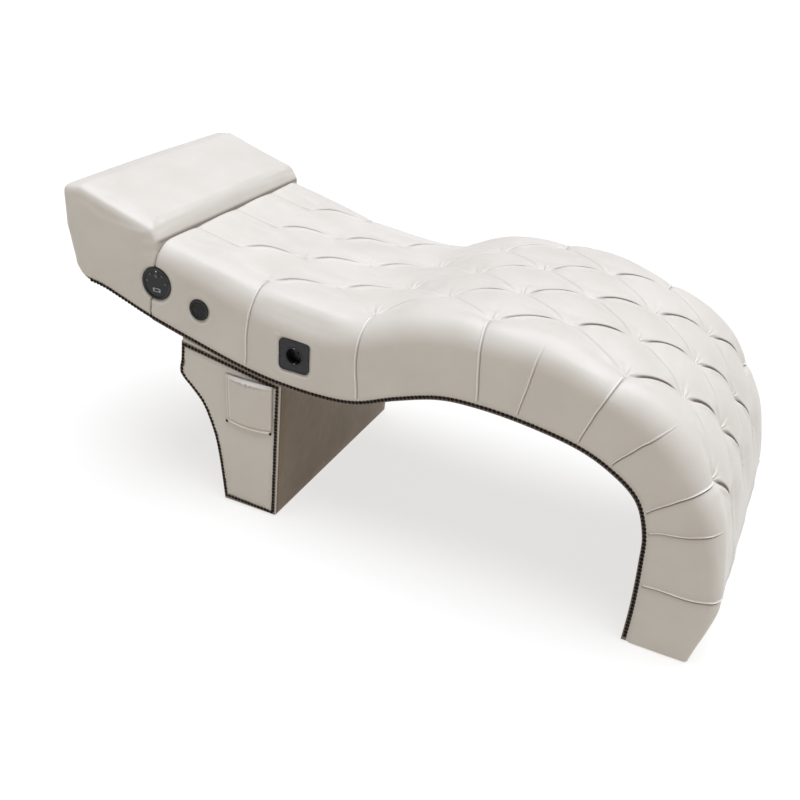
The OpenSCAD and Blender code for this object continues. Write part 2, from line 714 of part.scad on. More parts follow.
ped_glide_in = 34;
module pedestal_glides() {
    color(black)
        for (x = [ped_back(0)[0] + ped_glide_in, ped_foot_x1 - ped_glide_in], y = [-1, 1])
            glide(x, y * (ped_board_half - ped_glide_in));
}

// Nails round the pedestal's side panels
ped_nail_vs = concat([nail_in / ped_z1], [for (i = [1 : ped_rows - 1]) i / ped_rows], [1 - nail_in / ped_z1]);
ped_nail_line = concat([for (v = ped_nail_vs) ped_back_in(v, nail_in)],
    [for (v = backwards(ped_nail_vs)) ped_front_in(v, nail_in)], [ped_back_in(ped_nail_vs[0], nail_in)]);
ped_nail_lengths = with_length(ped_nail_line);
ped_nail_run = ped_nail_lengths[len(ped_nail_lengths) - 1];
ped_nail_count = floor(ped_nail_run / nail_pitch);
ped_nail_x = [for (i = [0 : len(ped_nail_line) - 1]) [ped_nail_lengths[i], ped_nail_line[i][0]]];
ped_nail_z = [for (i = [0 : len(ped_nail_line) - 1]) [ped_nail_lengths[i], ped_nail_line[i][1]]];
module pedestal_nail_row(way) {
    color(bronze)
        for (i = [0 : ped_nail_count - 1])
            translate([lookup(i * ped_nail_run / ped_nail_count, ped_nail_x), -way * (ped_half - pad_rise),
                lookup(i * ped_nail_run / ped_nail_count, ped_nail_z)])
                nail_head(way);
}

module pedestal_nails_near() {
    pedestal_nail_row(1);
}

module pedestal_nails_far() {
    pedestal_nail_row(-1);
}

// Bolts up through the wedge plate into rails in the bed
bolt_play = 0.25;
bolt_in_side = 110;
bolt_in_back = 70;
bolt_in_front = 60;
bolt_y = ped_half - bolt_in_side;
bolt_x = [ped_top_x0 + bolt_in_back, ped_top_x1 - bolt_in_front];
bolt_rail_h = 34;
bolt_l = 90;
bolt_head_h = 5.5;
bolt_head_d = 1.7 * bolt_d;
tee_wall = 1.2;
tee_d = bolt_d + 2 * tee_wall;
tee_barrel = 12;
tee_flange_d = 22;
tee_flange_t = 1.5;
// Height of the bed's bottom edge at a place along it
under_table = [for (t = whole_fine) under(t)];
// How far a bolt runs from the top of the pedestal to the bed's bottom edge, found step by step
function run_to_bed(x, d, n) = n == 0 ? d
    : run_to_bed(x, (lookup(x + d * sin(ped_tilt), under_table) - ped_top_at(x)) / cos(ped_tilt), n - 1);
function rail_top(x) = run_to_bed(x, 0, 4) + skin_t + under_t + bolt_rail_h;
module bolt_axis(x, y) {
    translate([x, y, ped_top_at(x)])
        rotate([0, ped_tilt, 0])
            children();
}

module bolt_holes() {
    for (x = bolt_x, y = [-bolt_y, bolt_y])
        bolt_axis(x, y)
            translate([0, 0, -bolt_l])
                cylinder(h = 2 * bolt_l, d = bolt_d + 2 * bolt_play);
}

module pedestal_bolts() {
    color(steel)
        for (x = bolt_x, y = [-bolt_y, bolt_y])
            bolt_axis(x, y) {
                translate([0, 0, -bolt_head_h])
                    cylinder(h = bolt_head_h, d = bolt_head_d, $fn = 6);
                cylinder(h = rail_top(x) + 2 * tee_flange_t, d = bolt_d);
            }
}

module tee_nuts() {
    color(steel)
        for (x = bolt_x, y = [-bolt_y, bolt_y])
            bolt_axis(x, y)
                translate([0, 0, rail_top(x)])
                    difference() {
                        union() {
                            translate([0, 0, -tee_barrel + bolt_play])
                                cylinder(h = tee_barrel, d = tee_d);
                            translate([0, 0, bolt_play / 2])
                                cylinder(h = tee_flange_t, d = tee_flange_d);
                        }
                        translate([0, 0, -bolt_l])
                            cylinder(h = 2 * bolt_l, d = bolt_d + 2 * bolt_play);
                    }
}

// Patch pocket on the pedestal: gathered elastic mouth, sagging lower edge, a sheet that stands off
pocket_w = 133;
pocket_h = 132;
pocket_from_front = 16;
pocket_from_top = 5;
pocket_x0 = ped_top_x1 - pocket_from_front - pocket_w;
pocket_z0 = ped_z1 - pocket_from_top - pocket_h;
pocket_bulge = 12;
pocket_skin = 2.2;
pocket_sag = 6;
pocket_gathers = 7;
pocket_gather_rise = 1.1;
pocket_narrow = 1.5;
pocket_across = 28;
pocket_up = 8;
function pocket_stand(u, v) = pocket_bulge * pow(max(0, sin(180 * u)), 0.55) * (0.08 + 0.92 * pow(v, 0.5));
function pocket_gather(u, v) = pocket_gather_rise * pow(v, 3) * sin(360 * pocket_gathers * u) * sin(180 * u);
function pocket_point(u, v, out) = [
    pocket_x0 + u * pocket_w + 2 * pocket_narrow * (0.5 - u) * (1 - v),
    -(ped_half + fit_gap + out + pocket_stand(u, v) + pocket_gather(u, v)),
    pocket_z0 + v * pocket_h - pocket_sag * sin(180 * u) * (1 - v)];
module pocket() {
    nu = pocket_across + 1;
    rows = [for (v = [0 : pocket_up]) v / pocket_up];
    rings = [for (v = rows) concat(
        [for (i = [0 : pocket_across]) pocket_point(i / pocket_across, v, pocket_skin)],
        [for (i = [pocket_across : -1 : 0]) pocket_point(i / pocket_across, v, 0)])];
    n = 2 * nu;
    m = len(rings);
    cap = [for (i = [0 : nu - 2]) each [[i, n - 2 - i, i + 1], [i, n - 1 - i, n - 2 - i]]];
    color(leather)
        polyhedron(
            points = [for (r = rings, p = r) p],
            faces = [for (f = concat(ring_faces(m, n), cap,
                [for (f = cap) [for (k = backwards(f)) (m - 1) * n + k]])) backwards(f)]);
}

tack_d = 7;
tack_rise = 2;
tack_seat = 1;
module pocket_tacks() {
    color(black)
        for (u = [0, 1])
            translate([pocket_x0 + u * pocket_w + (0.5 - u) * tack_d * 1.2,
                -(ped_half + 2 * fit_gap + pocket_skin + tack_seat), pocket_z0 + tack_d / 3])
                rotate([90, 0, 0])
                    cylinder(h = tack_rise, d = tack_d);
}

// Fittings on the near side: places as shares of the length and the height
control_at = place(-0.3386, 0.7343);
speaker_at = place(-0.2680, 0.6832);
socket_at = place(-0.1135, 0.6178);
// Inside a fitting z points out of the side, with zero on the leather under its rim
seat_in = 3;
module fitting_at(p) {
    translate([p[0], -(half_w - seat_in), p[1]])
        rotate([90, 0, 0])
            children();
}

// The place for a round fitting: a flat seat for its rim and a hole for its body
module seat_cut(rim_r, body_r) {
    cylinder(h = side_t, r = rim_r + fit_gap);
    round_hole(body_r + fit_gap);
}

// A ring with straight walls
module tube(r_out, r_in, h) {
    difference() {
        cylinder(h = h, r = r_out);
        translate([0, 0, -over])
            cylinder(h = h + 2 * over, r = r_in);
    }
}

module rounded_bar(w, h, r) {
    square([w - 2 * r, h], center = true);
    square([w, h - 2 * r], center = true);
    for (x = [-1, 1], y = [-1, 1])
        translate([x * (w / 2 - r), y * (h / 2 - r)])
            circle(r);
}

module rounded_square(w, r) {
    rounded_bar(w, w, r);
}

// Control panel
bezel_w = 6;
housing_d = panel_d - 2 * bezel_w;
housing_wall = 2;
housing_depth = 44;
lead_hole_d = 8;
rim_t = 1.2;
bezel_t = 1.8;
bezel_over = 1.5;
bezel_flat = 1;
face_d = housing_d - 2 * housing_wall - 2 * fit_gap;
face_t = 2;
face_seat = -1;
button_r = panel_d * 0.235;
key_ring = panel_d * 0.325;
key_play = 0.15;
key_proud = 1.2;
button_proud = 1.6;
flange_t = 0.8;
flange_out = 1;
board_z = -11;
pcb_t = 1.6;
// Keys round the face: node number and angle
key_angles = [172, 128, 52, 8];
usb_w = 13.2;
usb_h = 5.7;
usb_wall = 0.4;
usb_l = 14;
usb_at = -panel_d * 0.20;
lens_d = 3;
lens_in = 1;
lens_proud = 0.2;
lens_at = housing_d / 2 - housing_wall - lens_in - lens_d / 2;
// Raised frame round the slot in the face
slot_frame_out = 4.4;
slot_frame_up = 2;
slot_frame_t = 0.9;
slot_frame_r = 1.6;

module control_housing() {
    color(black)
        fitting_at(control_at)
            difference() {
                union() {
                    cylinder(h = rim_t, r = panel_d / 2);
                    translate([0, 0, -housing_depth])
                        cylinder(h = housing_depth, r = housing_d / 2);
                }
                translate([0, 0, -housing_depth + housing_wall])
                    cylinder(h = housing_depth + rim_t, r = housing_d / 2 - housing_wall);
                translate([housing_d / 4, 0, -housing_depth - over])
                    cylinder(h = housing_wall + 2 * over, d = lead_hole_d);
            }
}

module control_bezel() {
    color(charcoal)
        fitting_at(control_at)
            translate([0, 0, rim_t])
                rotate_extrude()
                    polygon([[housing_d / 2 - bezel_over, 0], [panel_d / 2, 0], [panel_d / 2, bezel_t * 0.4],
                        [panel_d / 2 - bezel_t * 0.6, bezel_t], [housing_d / 2 + bezel_flat, bezel_t],
                        [housing_d / 2 - bezel_over, bezel_t * 0.3]]);
}

// Opening in the face for a key of width d
module key_hole(d, at, angle) {
    rotate(angle)
        translate([at, 0, face_seat - over])
            cylinder(h = face_t + 2 * over, r = d / 2 + key_play);
}

module control_face() {
    color(black)
        fitting_at(control_at)
            difference() {
                union() {
                    translate([0, 0, face_seat])
                        cylinder(h = face_t, d = face_d);
                    translate([0, usb_at, face_seat + face_t])
                        linear_extrude(slot_frame_t)
                            rounded_bar(usb_w + 2 * slot_frame_out, usb_h + 2 * slot_frame_up, slot_frame_r);
                }
                key_hole(button_d, button_r, 90);
                for (a = key_angles)
                    key_hole(key_d, key_ring, a);
                key_hole(lens_d, lens_at, 90);
                translate([0, usb_at, face_seat])
                    cube([usb_w + 2 * fit_gap, usb_h + 2 * fit_gap, 4 * face_t], center = true);
            }
}

// A key: cap through the face, with a flange behind it that keeps it in
module key_cap(d, at, angle, proud) {
    fitting_at(control_at)
        rotate(angle)
            translate([at, 0, 0]) {
                translate([0, 0, face_seat - key_play - flange_t])
                    cylinder(h = flange_t + key_play + face_t + proud, r = d / 2);
                translate([0, 0, face_seat - key_play - flange_t])
                    cylinder(h = flange_t, r = d / 2 + flange_out);
            }
}

module power_button() {
    color(steel)
        key_cap(button_d, button_r, 90, button_proud);
}

module previous_key() {
    color(charcoal)
        key_cap(key_d, key_ring, key_angles[0], key_proud);
}

module volume_down_key() {
    color(charcoal)
        key_cap(key_d, key_ring, key_angles[1], key_proud);
}

module volume_up_key() {
    color(charcoal)
        key_cap(key_d, key_ring, key_angles[2], key_proud);
}

module next_key() {
    color(charcoal)
        key_cap(key_d, key_ring, key_angles[3], key_proud);
}

// Height of a switch under a key, up to the key's back less its travel
function switch_top(travel) = face_seat - key_play - flange_t - travel - key_play;
switch_w = 5;
module control_board() {
    color(circuit)
        fitting_at(control_at)
            difference() {
                union() {
                    translate([0, 0, board_z])
                        cylinder(h = pcb_t, d = face_d);
                    rotate(90)
                        translate([button_r, 0, board_z])
                            cylinder(h = switch_top(button_travel) - board_z, d = switch_w);
                    for (a = key_angles)
                        rotate(a)
                            translate([key_ring, 0, board_z])
                                cylinder(h = switch_top(key_travel) - board_z, d = switch_w);
                }
                translate([0, usb_at, board_z])
                    cube([usb_w + 2 * fit_gap, usb_h + 2 * fit_gap, 8 * pcb_t], center = true);
            }
}

module status_lens() {
    color(steel)
        fitting_at(control_at)
            translate([0, lens_at, board_z + pcb_t])
                cylinder(h = face_seat + face_t - board_z - pcb_t + lens_proud, d = lens_d);
}

module usb_port() {
    color(steel)
        fitting_at(control_at)
            translate([0, usb_at, face_seat + face_t - usb_l / 2])
                difference() {
                    cube([usb_w, usb_h, usb_l], center = true);
                    translate([0, 0, usb_wall])
                        cube([usb_w - 2 * usb_wall, usb_h - 2 * usb_wall, usb_l], center = true);
                }
}

// Ring that clamps the housing behind the side panel
clamp_t = 6;
clamp_w = 6;
clamp_at = seat_in - side_t - panel_t - fit_gap;
module control_clamp_ring() {
    color(black)
        fitting_at(control_at)
            translate([0, 0, clamp_at - fit_gap - clamp_t])
                tube(housing_d / 2 + clamp_w, housing_d / 2 + fit_gap, clamp_t);
}

// Speaker
speaker_rim_w = 4;
speaker_body_d = speaker_d - 2 * speaker_rim_w;
speaker_wall = 2;
speaker_depth = 24;
grille_d = speaker_body_d - 2 * speaker_wall - 2 * fit_gap;
grille_t = 1.2;
grille_hole = 2.2;
grille_pitch = 4.2;
grille_rings = 4;
speaker_rim_t = 2.6;
magnet_d = 26;
magnet_h = 9;

module speaker_frame() {
    color(black)
        fitting_at(speaker_at)
            rotate_extrude()
                polygon([
                    [speaker_body_d / 2 - speaker_wall, -speaker_depth], [speaker_body_d / 2, -speaker_depth],
                    [speaker_body_d / 2, 0], [speaker_d / 2, 0], [speaker_d / 2, speaker_rim_t * 0.5],
                    [speaker_d / 2 - speaker_rim_t * 0.5, speaker_rim_t],
                    [speaker_body_d / 2 - speaker_wall, speaker_rim_t * 0.6]]);
}

module speaker_grille() {
    color(charcoal)
        fitting_at(speaker_at)
            translate([0, 0, -grille_t])
                difference() {
                    cylinder(h = grille_t, d = grille_d);
                    for (ring = [1 : grille_rings], k = [0 : 6 * ring - 1])
                        rotate(60 * k / ring)
                            translate([ring * grille_pitch, 0, -over])
                                cylinder(h = grille_t + 2 * over, d = grille_hole);
                    translate([0, 0, -over])
                        cylinder(h = grille_t + 2 * over, d = grille_hole);
                }
}

cone_depth = 9;
cone_t = 0.6;
cone_gap = 3;
module speaker_cone() {
    color(black)
        fitting_at(speaker_at)
            translate([0, 0, -grille_t - cone_gap])
                rotate_extrude()
                    polygon([[0, -cone_depth], [magnet_d / 4, -cone_depth], [grille_d / 2, 0], [grille_d / 2, cone_t],
                        [grille_d / 2 - 1.2 * cone_t, cone_t], [magnet_d / 4, -cone_depth + 1.6 * cone_t],
                        [0, -cone_depth + 1.6 * cone_t]]);
}

module speaker_magnet() {
    color(steel)
        fitting_at(speaker_at) {
            translate([0, 0, -grille_t - cone_gap - cone_depth - fit_gap - magnet_h])
                cylinder(h = magnet_h, d = magnet_d);
            translate([0, 0, -speaker_depth])
                difference() {
                    cylinder(h = grille_t, d = grille_d);
                    translate([0, 0, -over])
                        cylinder(h = grille_t + 2 * over, d = magnet_d / 2);
                }
        }
}

// Mains socket
plate_r = 13;
plate_t = 3;
plate_rim = 2.5;
plate_dish = 0.8;
insert_rim = 3.5;
insert_d = recess_d + 2 * insert_rim;
box_d = 62;
conduit_hole_d = 10;
box_wall = 2;
box_depth = 46;
notch_w = 4;
notch_d = 1.2;
floor_t = 2.5;
clip_w = 5;
clip_t = 1;

module socket_plate() {
    color(charcoal)
        fitting_at(socket_at)
            difference() {
                linear_extrude(plate_t)
                    rounded_square(plate_w, plate_r);
                translate([0, 0, plate_t - plate_dish])
                    linear_extrude(plate_t)
                        rounded_square(plate_w - 2 * plate_rim, plate_r - plate_rim);
                translate([0, 0, -over])
                    cylinder(h = plate_t + 2 * over, d = insert_d + 2 * fit_gap);
                for (a = [0 : 90 : 270])
                    rotate(a)
                        translate([plate_w / 2 - plate_rim / 2, 0, plate_t])
                            cube([2 * plate_rim, notch_w, 2 * notch_d], center = true);
            }
}

insert_front = 2.6;
recess_floor = insert_front - recess_depth;
module socket_insert() {
    color(black)
        fitting_at(socket_at)
            difference() {
                union() {
                    translate([0, 0, recess_floor - floor_t])
                        cylinder(h = recess_depth + floor_t, d = insert_d);
                    for (a = [stop_angle, stop_angle + 180])
                        rotate(a)
                            translate([pin_pitch / 2, 0, shutter_z])
                                cylinder(h = recess_floor - shutter_z, d = stop_d);
                }
                translate([0, 0, recess_floor])
                    cylinder(h = recess_depth + over, d = recess_d);
                for (x = [-pin_pitch / 2, pin_pitch / 2])
                    translate([x, 0, recess_floor - floor_t - over])
                        cylinder(h = floor_t + 2 * over, d = pin_hole_d);
                translate([0, 0, recess_floor - floor_t - over])
                    cylinder(h = floor_t + 2 * over, d = screw_d + 2 * bolt_play);
                for (y = [-1, 1])
                    translate([0, y * (recess_d / 2), (insert_front + recess_floor - floor_t) / 2])
                        cube([clip_w + 2 * fit_gap, 2 * (clip_t + fit_gap), recess_depth + floor_t + 2 * over],
                            center = true);
            }
}

module earth_clips() {
    color(steel)
        fitting_at(socket_at)
            for (y = [-1, 1])
                translate([0, y * (recess_d / 2 - clip_t / 2 + fit_gap), (insert_front + recess_floor) / 2 - fit_gap])
                    cube([clip_w, clip_t, recess_depth - 2 * clip_t], center = true);
}

screw_d = 3.5;
contact_out = 7.2;
contact_l = 14;
contact_grip = 0.4;
shutter_t = 1.6;
shutter_play = 0.05;
spring_t = 0.6;
shutter_gap = 0.4;
shutter_z = recess_floor - floor_t - shutter_gap - shutter_t;
module socket_contacts() {
    color(brass)
        fitting_at(socket_at)
            for (x = [-pin_pitch / 2, pin_pitch / 2])
                translate([x, 0, shutter_z - shutter_gap - contact_l])
                    tube(contact_out / 2, pin_hole_d / 2 - contact_grip, contact_l);
}

// Safety shutter: two blades on a hub that turns round the middle screw, up to two stop pegs
shutter_hub = 9;
blade_w = 8;
stop_d = 2;
stop_play = 3;
stop_angle = shutter_turn + asin(blade_w / pin_pitch) + asin(stop_d / pin_pitch) + stop_play;
module socket_shutter() {
    color(charcoal)
        fitting_at(socket_at)
            translate([0, 0, shutter_z])
                difference() {
                    union() {
                        cylinder(h = shutter_t, d = shutter_hub);
                        translate([-pin_pitch / 2, -blade_w / 2, 0])
                            cube([pin_pitch, blade_w, shutter_t]);
                        for (x = [-pin_pitch / 2, pin_pitch / 2])
                            translate([x, 0, 0])
                                cylinder(h = shutter_t, d = blade_w);
                    }
                    translate([0, 0, -over])
                        cylinder(h = shutter_t + 2 * over, r = screw_d / 2 + shutter_play);
                }
}

// Flat spring washer behind the shutter that turns it back
module shutter_spring() {
    color(steel)
        fitting_at(socket_at)
            translate([0, 0, shutter_z - shutter_gap - spring_t])
                tube(shutter_hub / 2, screw_d / 2 + bolt_play, spring_t);
}

screw_head_d = 7;
screw_head_h = 2;
module socket_screw() {
    color(steel)
        fitting_at(socket_at) {
            translate([0, 0, recess_floor + fit_gap / 2])
                cylinder(h = screw_head_h, d = screw_head_d);
            translate([0, 0, -box_depth + box_wall + fit_gap])
                cylinder(h = box_depth - box_wall + recess_floor, d = screw_d);
        }
}

module socket_box() {
    color(black)
        fitting_at(socket_at)
            difference() {
                translate([0, 0, -box_depth])
                    cylinder(h = box_depth - fit_gap, d = box_d);
                translate([0, 0, -box_depth + box_wall])
                    cylinder(h = box_depth, d = box_d - 2 * box_wall);
                translate([box_d / 4, 0, -box_depth - over])
                    cylinder(h = box_wall + 2 * over, d = conduit_hole_d);
            }
}

// Power supply on the inside of the near side panel
supply = [96, 34, 48];
supply_at = place(-0.196, 0.655);
module power_supply() {
    color(charcoal)
        translate([supply_at[0] - supply[0] / 2, -rail_half + fit_gap, supply_at[1] - supply[2] / 2])
            cube(supply);
}

// Cable gland under the head part
gland_t = 1.6;
gland_y = 190;
gland_d = 16;
gland_nut_d = 22;
gland_bore = 7;
gland_head_t = 6;
gland_play = 0.6;
gland_nut_t = 4;
gland_stub = 2;
gland_l = gland_head_t + 2 * gland_play + skin_t + under_t + gland_nut_t + gland_stub;
function gland_tilt() = let (a = under(gland_t - 0.1), b = under(gland_t + 0.1)) atan2(a[1] - b[1], b[0] - a[0]);
module gland_frame() {
    p = under(gland_t);
    translate([p[0], gland_y, p[1]])
        rotate([0, gland_tilt(), 0])
            children();
}

module gland_hole() {
    gland_frame()
        translate([0, 0, -5 * over])
            cylinder(h = skin_t + under_t + 10 * over, d = gland_d + 2 * fit_gap);
}

module cable_gland() {
    color(black)
        gland_frame()
            difference() {
                union() {
                    translate([0, 0, -gland_play - gland_head_t])
                        cylinder(h = gland_head_t, d = gland_nut_d, $fn = 6);
                    translate([0, 0, -gland_play - over / 2])
                        cylinder(h = gland_l - gland_head_t, d = gland_d);
                    translate([0, 0, skin_t + under_t + gland_play])
                        cylinder(h = gland_nut_t, d = gland_nut_d, $fn = 6);
                }
                translate([0, 0, -gland_l])
                    cylinder(h = 3 * gland_l, d = gland_bore);
            }
}

mattress();
headrest();
head_band();
side_cover_near();
side_cover_far();
underside_cover();
side_panel_near();
side_panel_far();
cross_rails();
deck();
headrest_deck();
underside_panel();
head_board();
foot_sole();
foot_glides();
nail_trim_near();
nail_trim_far();
pedestal_cover_near();
pedestal_cover_far();
pedestal_panel_near();
pedestal_panel_far();
pedestal_front_board();
pedestal_back_board();
pedestal_base();
pedestal_top_plate();
pedestal_leather();
pedestal_nails_near();
pedestal_nails_far();
pedestal_glides();
pedestal_bolts();
tee_nuts();
pocket();
pocket_tacks();
control_housing();
control_bezel();
control_face();
control_board();
control_clamp_ring();
power_button();
previous_key();
next_key();
volume_down_key();
volume_up_key();
status_lens();
usb_port();
speaker_frame();
speaker_grille();
speaker_cone();
speaker_magnet();
socket_plate();
socket_insert();
earth_clips();
socket_contacts();
socket_shutter();
shutter_spring();
socket_screw();
socket_box();
power_supply();
cable_gland();
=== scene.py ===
from math import acos, ceil, cos, exp, floor, hypot, pi, radians, sin, tan

import bmesh
import bpy
import numpy as np
from mathutils import Matrix, Vector


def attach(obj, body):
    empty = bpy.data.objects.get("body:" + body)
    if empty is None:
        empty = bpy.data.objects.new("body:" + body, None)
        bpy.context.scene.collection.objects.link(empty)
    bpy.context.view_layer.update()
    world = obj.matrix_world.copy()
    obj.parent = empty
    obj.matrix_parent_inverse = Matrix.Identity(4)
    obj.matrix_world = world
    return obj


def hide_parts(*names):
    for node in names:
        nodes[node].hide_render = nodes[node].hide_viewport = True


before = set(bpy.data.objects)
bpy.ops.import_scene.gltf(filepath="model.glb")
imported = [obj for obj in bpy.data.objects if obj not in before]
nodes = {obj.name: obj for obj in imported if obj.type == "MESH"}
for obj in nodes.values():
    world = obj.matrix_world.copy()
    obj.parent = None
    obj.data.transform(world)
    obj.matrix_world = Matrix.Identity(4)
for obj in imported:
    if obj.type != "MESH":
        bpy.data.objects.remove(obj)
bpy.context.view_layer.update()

# Sizes and places are in millimetres here. Meshes, the camera and the lights are in metres.
MM = 0.001


def add_object(name, data):
    obj = bpy.data.objects.new(name, data)
    bpy.context.scene.collection.objects.link(obj)
    return obj


# Camera, found from the bed's edges in the photograph
CAMERA_AT = (0.8155, -2.070, 1.496)
CAMERA_DOWN = radians(29.11)
CAMERA_AZIMUTH = radians(22.87)
CAMERA_ROLL = radians(4.66)
CAMERA_LENS, CAMERA_SENSOR = 43.76, 36.0
CAMERA_CLIP = (0.05, 60.0)


def make_camera():
    data = bpy.data.cameras.new("camera")
    data.lens, data.sensor_width = CAMERA_LENS, CAMERA_SENSOR
    data.clip_start, data.clip_end = CAMERA_CLIP
    camera = add_object("camera", data)
    bpy.context.scene.camera = camera
    flat = cos(CAMERA_DOWN)
    east, north = -sin(CAMERA_AZIMUTH) * flat, cos(CAMERA_AZIMUTH) * flat
    ahead = Vector((east, north, -sin(CAMERA_DOWN)))
    level = ahead.cross(Vector((0, 0, 1))).normalized()
    over = level.cross(ahead)
    c, s = cos(CAMERA_ROLL), sin(CAMERA_ROLL)
    right, up = c * level + s * over, -s * level + c * over
    turn = Matrix((right, up, -ahead)).transposed()
    camera.matrix_world = Matrix.Translation(CAMERA_AT) @ turn.to_4x4()


make_camera()

# Sizes of the bed, as in the part's source
BED_L, BED_W, BED_H, GLIDE_H = 1695.0, 660.0, 768.0, 4.0
HALF_W = BED_W / 2
FOAM_T, SIDE_T = 78.0, 12.0
TUFT_HALF, TUFT_ROW, TUFT_START = 142.5, 86.0, 122.5
NAIL_BAND, NAIL_SINK, NAIL_FADE = 13.0, 3.1, 9.0
FIT_GAP = 0.3
OUTER_ROW, LAST_TUFT = 3, 10
# How dark the painted shade under and between the nails is, and its height
NAIL_PAINTED_SHADE, NAIL_SHADE_H = 0.78, 11.0

# The bed's wave, head to floor: bottom edge x and z, deck x and z, as shares of its length and
# height, the foam as a share of its full thickness, and the edges' rounding as a share of the foam
WAVE = np.array([
    [-0.458, 0.677, -0.489, 0.852, 0.62, 0.90],
    [-0.431, 0.665, -0.444, 0.843, 0.62, 0.90],
    [-0.392, 0.635, -0.391, 0.827, 0.62, 0.90],
    [-0.353, 0.606, -0.338, 0.807, 0.62, 1.15],
    [-0.274, 0.560, -0.253, 0.765, 0.72, 1.30],
    [-0.207, 0.525, -0.181, 0.724, 0.82, 1.32],
    [-0.146, 0.504, -0.115, 0.703, 0.90, 1.30],
    [-0.073, 0.498, -0.057, 0.689, 0.95, 1.22],
    [-0.017, 0.513, -0.013, 0.698, 0.97, 1.08],
    [0.040, 0.565, 0.047, 0.747, 1.00, 0.97],
    [0.099, 0.608, 0.102, 0.768, 1.00, 0.90],
    [0.151, 0.617, 0.155, 0.772, 1.00, 0.90],
    [0.216, 0.608, 0.224, 0.766, 1.00, 0.90],
    [0.286, 0.581, 0.301, 0.720, 1.00, 0.90],
    [0.333, 0.537, 0.357, 0.667, 1.00, 0.90],
    [0.369, 0.474, 0.399, 0.589, 1.00, 0.85],
    [0.386, 0.379, 0.431, 0.471, 0.97, 0.72],
    [0.390, 0.279, 0.451, 0.346, 0.90, 0.56],
    [0.392, 0.137, 0.468, 0.175, 0.69, 0.40],
    [0.391, 0.000, 0.456, 0.000, 0.49, 0.26],
])
JOINT_ROW = 3
LAST_ROW = len(WAVE) - 1
# The last row number before the bottom edge turns down to the floor
LEVEL_END = 14.5


def curve(table, t):
    """A smooth curve through the rows of a table, at the row numbers t."""
    t = np.asarray(t, float)
    i = np.clip(np.floor(t).astype(int), 0, len(table) - 2)
    u = (t - i)[..., None]
    rows = np.vstack([2 * table[0] - table[1], table, 2 * table[-1] - table[-2]])
    a, b, c, d = rows[i], rows[i + 1], rows[i + 2], rows[i + 3]
    square, cube = 2 * a - 5 * b + 4 * c - d, 3 * b - a - 3 * c + d
    return (2 * b + (c - a) * u + square * u**2 + cube * u**3) / 2


def place(share_x, share_z):
    """A place seen from the side, from shares of the bed's length and height."""
    return np.stack([share_x * BED_L, GLIDE_H + share_z * (BED_H - GLIDE_H)], axis=-1)


def under(t):
    s = curve(WAVE, t)
    return place(s[..., 0], s[..., 1])


def deck_line(t):
    s = curve(WAVE, t)
    return place(s[..., 2], s[..., 3])


def foam(t):
    return FOAM_T * curve(WAVE, t)[..., 4]


def edge_radius(t):
    return foam(t) * curve(WAVE, t)[..., 5]


def unit(way):
    return way / np.linalg.norm(way, axis=-1, keepdims=True)


def across(t):
    """Direction from the bottom edge to the deck."""
    return unit(deck_line(t) - under(t))


def crown_line(t):
    return deck_line(t) + foam(t)[..., None] * across(t)


def run_of(line):
    """Length along a line, up to each of its points."""
    steps = np.linalg.norm(np.diff(line, axis=0), axis=1)
    return np.concatenate([[0], np.cumsum(steps)])


FINE_T = np.linspace(JOINT_ROW, LAST_ROW, 12 * (LAST_ROW - JOINT_ROW) + 1)
CROWN_LENGTH = run_of(crown_line(FINE_T))


def row_at(s):
    """Row number of the wave at a length s along the crown, from the headrest."""
    return np.interp(s, CROWN_LENGTH, FINE_T)


def bottom_height(x):
    """Height of the bottom edge at x, up to where it turns down."""
    return np.interp(x, *under(np.linspace(0, LEVEL_END, 300)).T)


def ease(x):
    """Smooth step from 0 to 1."""
    x = np.clip(x, 0, 1)
    return x * x * (3 - 2 * x)


def bump_at(x, middle, width):
    return np.exp(-(((x - middle) / width) ** 2))


def wave_of(u, turns, phase=0.0):
    return np.sin(2 * pi * turns * u + phase)


def slow_noise(x, y, seed, octaves=3):
    """Smooth seeded noise from sums of turned sine waves, from about -1 to 1."""
    rng = np.random.default_rng(seed)
    total = np.zeros(np.broadcast(x, y).shape)
    weight = 0.0
    for octave in range(octaves):
        for _ in range(6):
            angle, phase_a, phase_b = rng.uniform(0, 2 * pi, 3)
            k = 2**octave * rng.uniform(0.7, 1.3)
            u = k * (x * cos(angle) + y * sin(angle))
            v = k * (y * cos(angle) - x * sin(angle))
            total = total + np.sin(u + phase_a + 0.8 * np.sin(0.7 * v + phase_b)) / 2**octave
        weight += 6 / 2**octave
    return total / weight * 2.2


def xyz(x, y, z):
    """Points from places along, across and up, numbers or arrays."""
    return np.stack(np.broadcast_arrays(x, y, z), -1)


def new_piece(name, points, faces):
    """A mesh object from points in millimetres."""
    mesh = bpy.data.meshes.new(name)
    mesh.from_pydata((np.asarray(points) * MM).tolist(), [], faces)
    mesh.validate()
    mesh.update()
    mesh.shade_smooth()
    return add_object(name, mesh)


def solid_piece(name, points, faces):
    """A closed piece whose faces all look outward."""
    obj = new_piece(name, points, faces)
    bm = bmesh.new()
    bm.from_mesh(obj.data)
    bmesh.ops.recalc_face_normals(bm, faces=bm.faces)
    bm.to_mesh(obj.data)
    bm.free()
    obj.data.shade_smooth()
    obj.data.update()
    return obj


def modify(obj, kind, **settings):
    """Adds a modifier with these settings to a piece and applies it."""
    mod = obj.modifiers.new(kind, kind)
    for key, value in settings.items():
        setattr(mod, key, value)
    seen = obj.evaluated_get(bpy.context.evaluated_depsgraph_get())
    made = bpy.data.meshes.new_from_object(seen)
    obj.modifiers.clear()
    old, obj.data = obj.data, made
    bpy.data.meshes.remove(old)


def cut(obj, tool):
    modify(obj, "BOOLEAN", operation="DIFFERENCE", object=tool, solver="EXACT")
    bpy.data.objects.remove(tool)


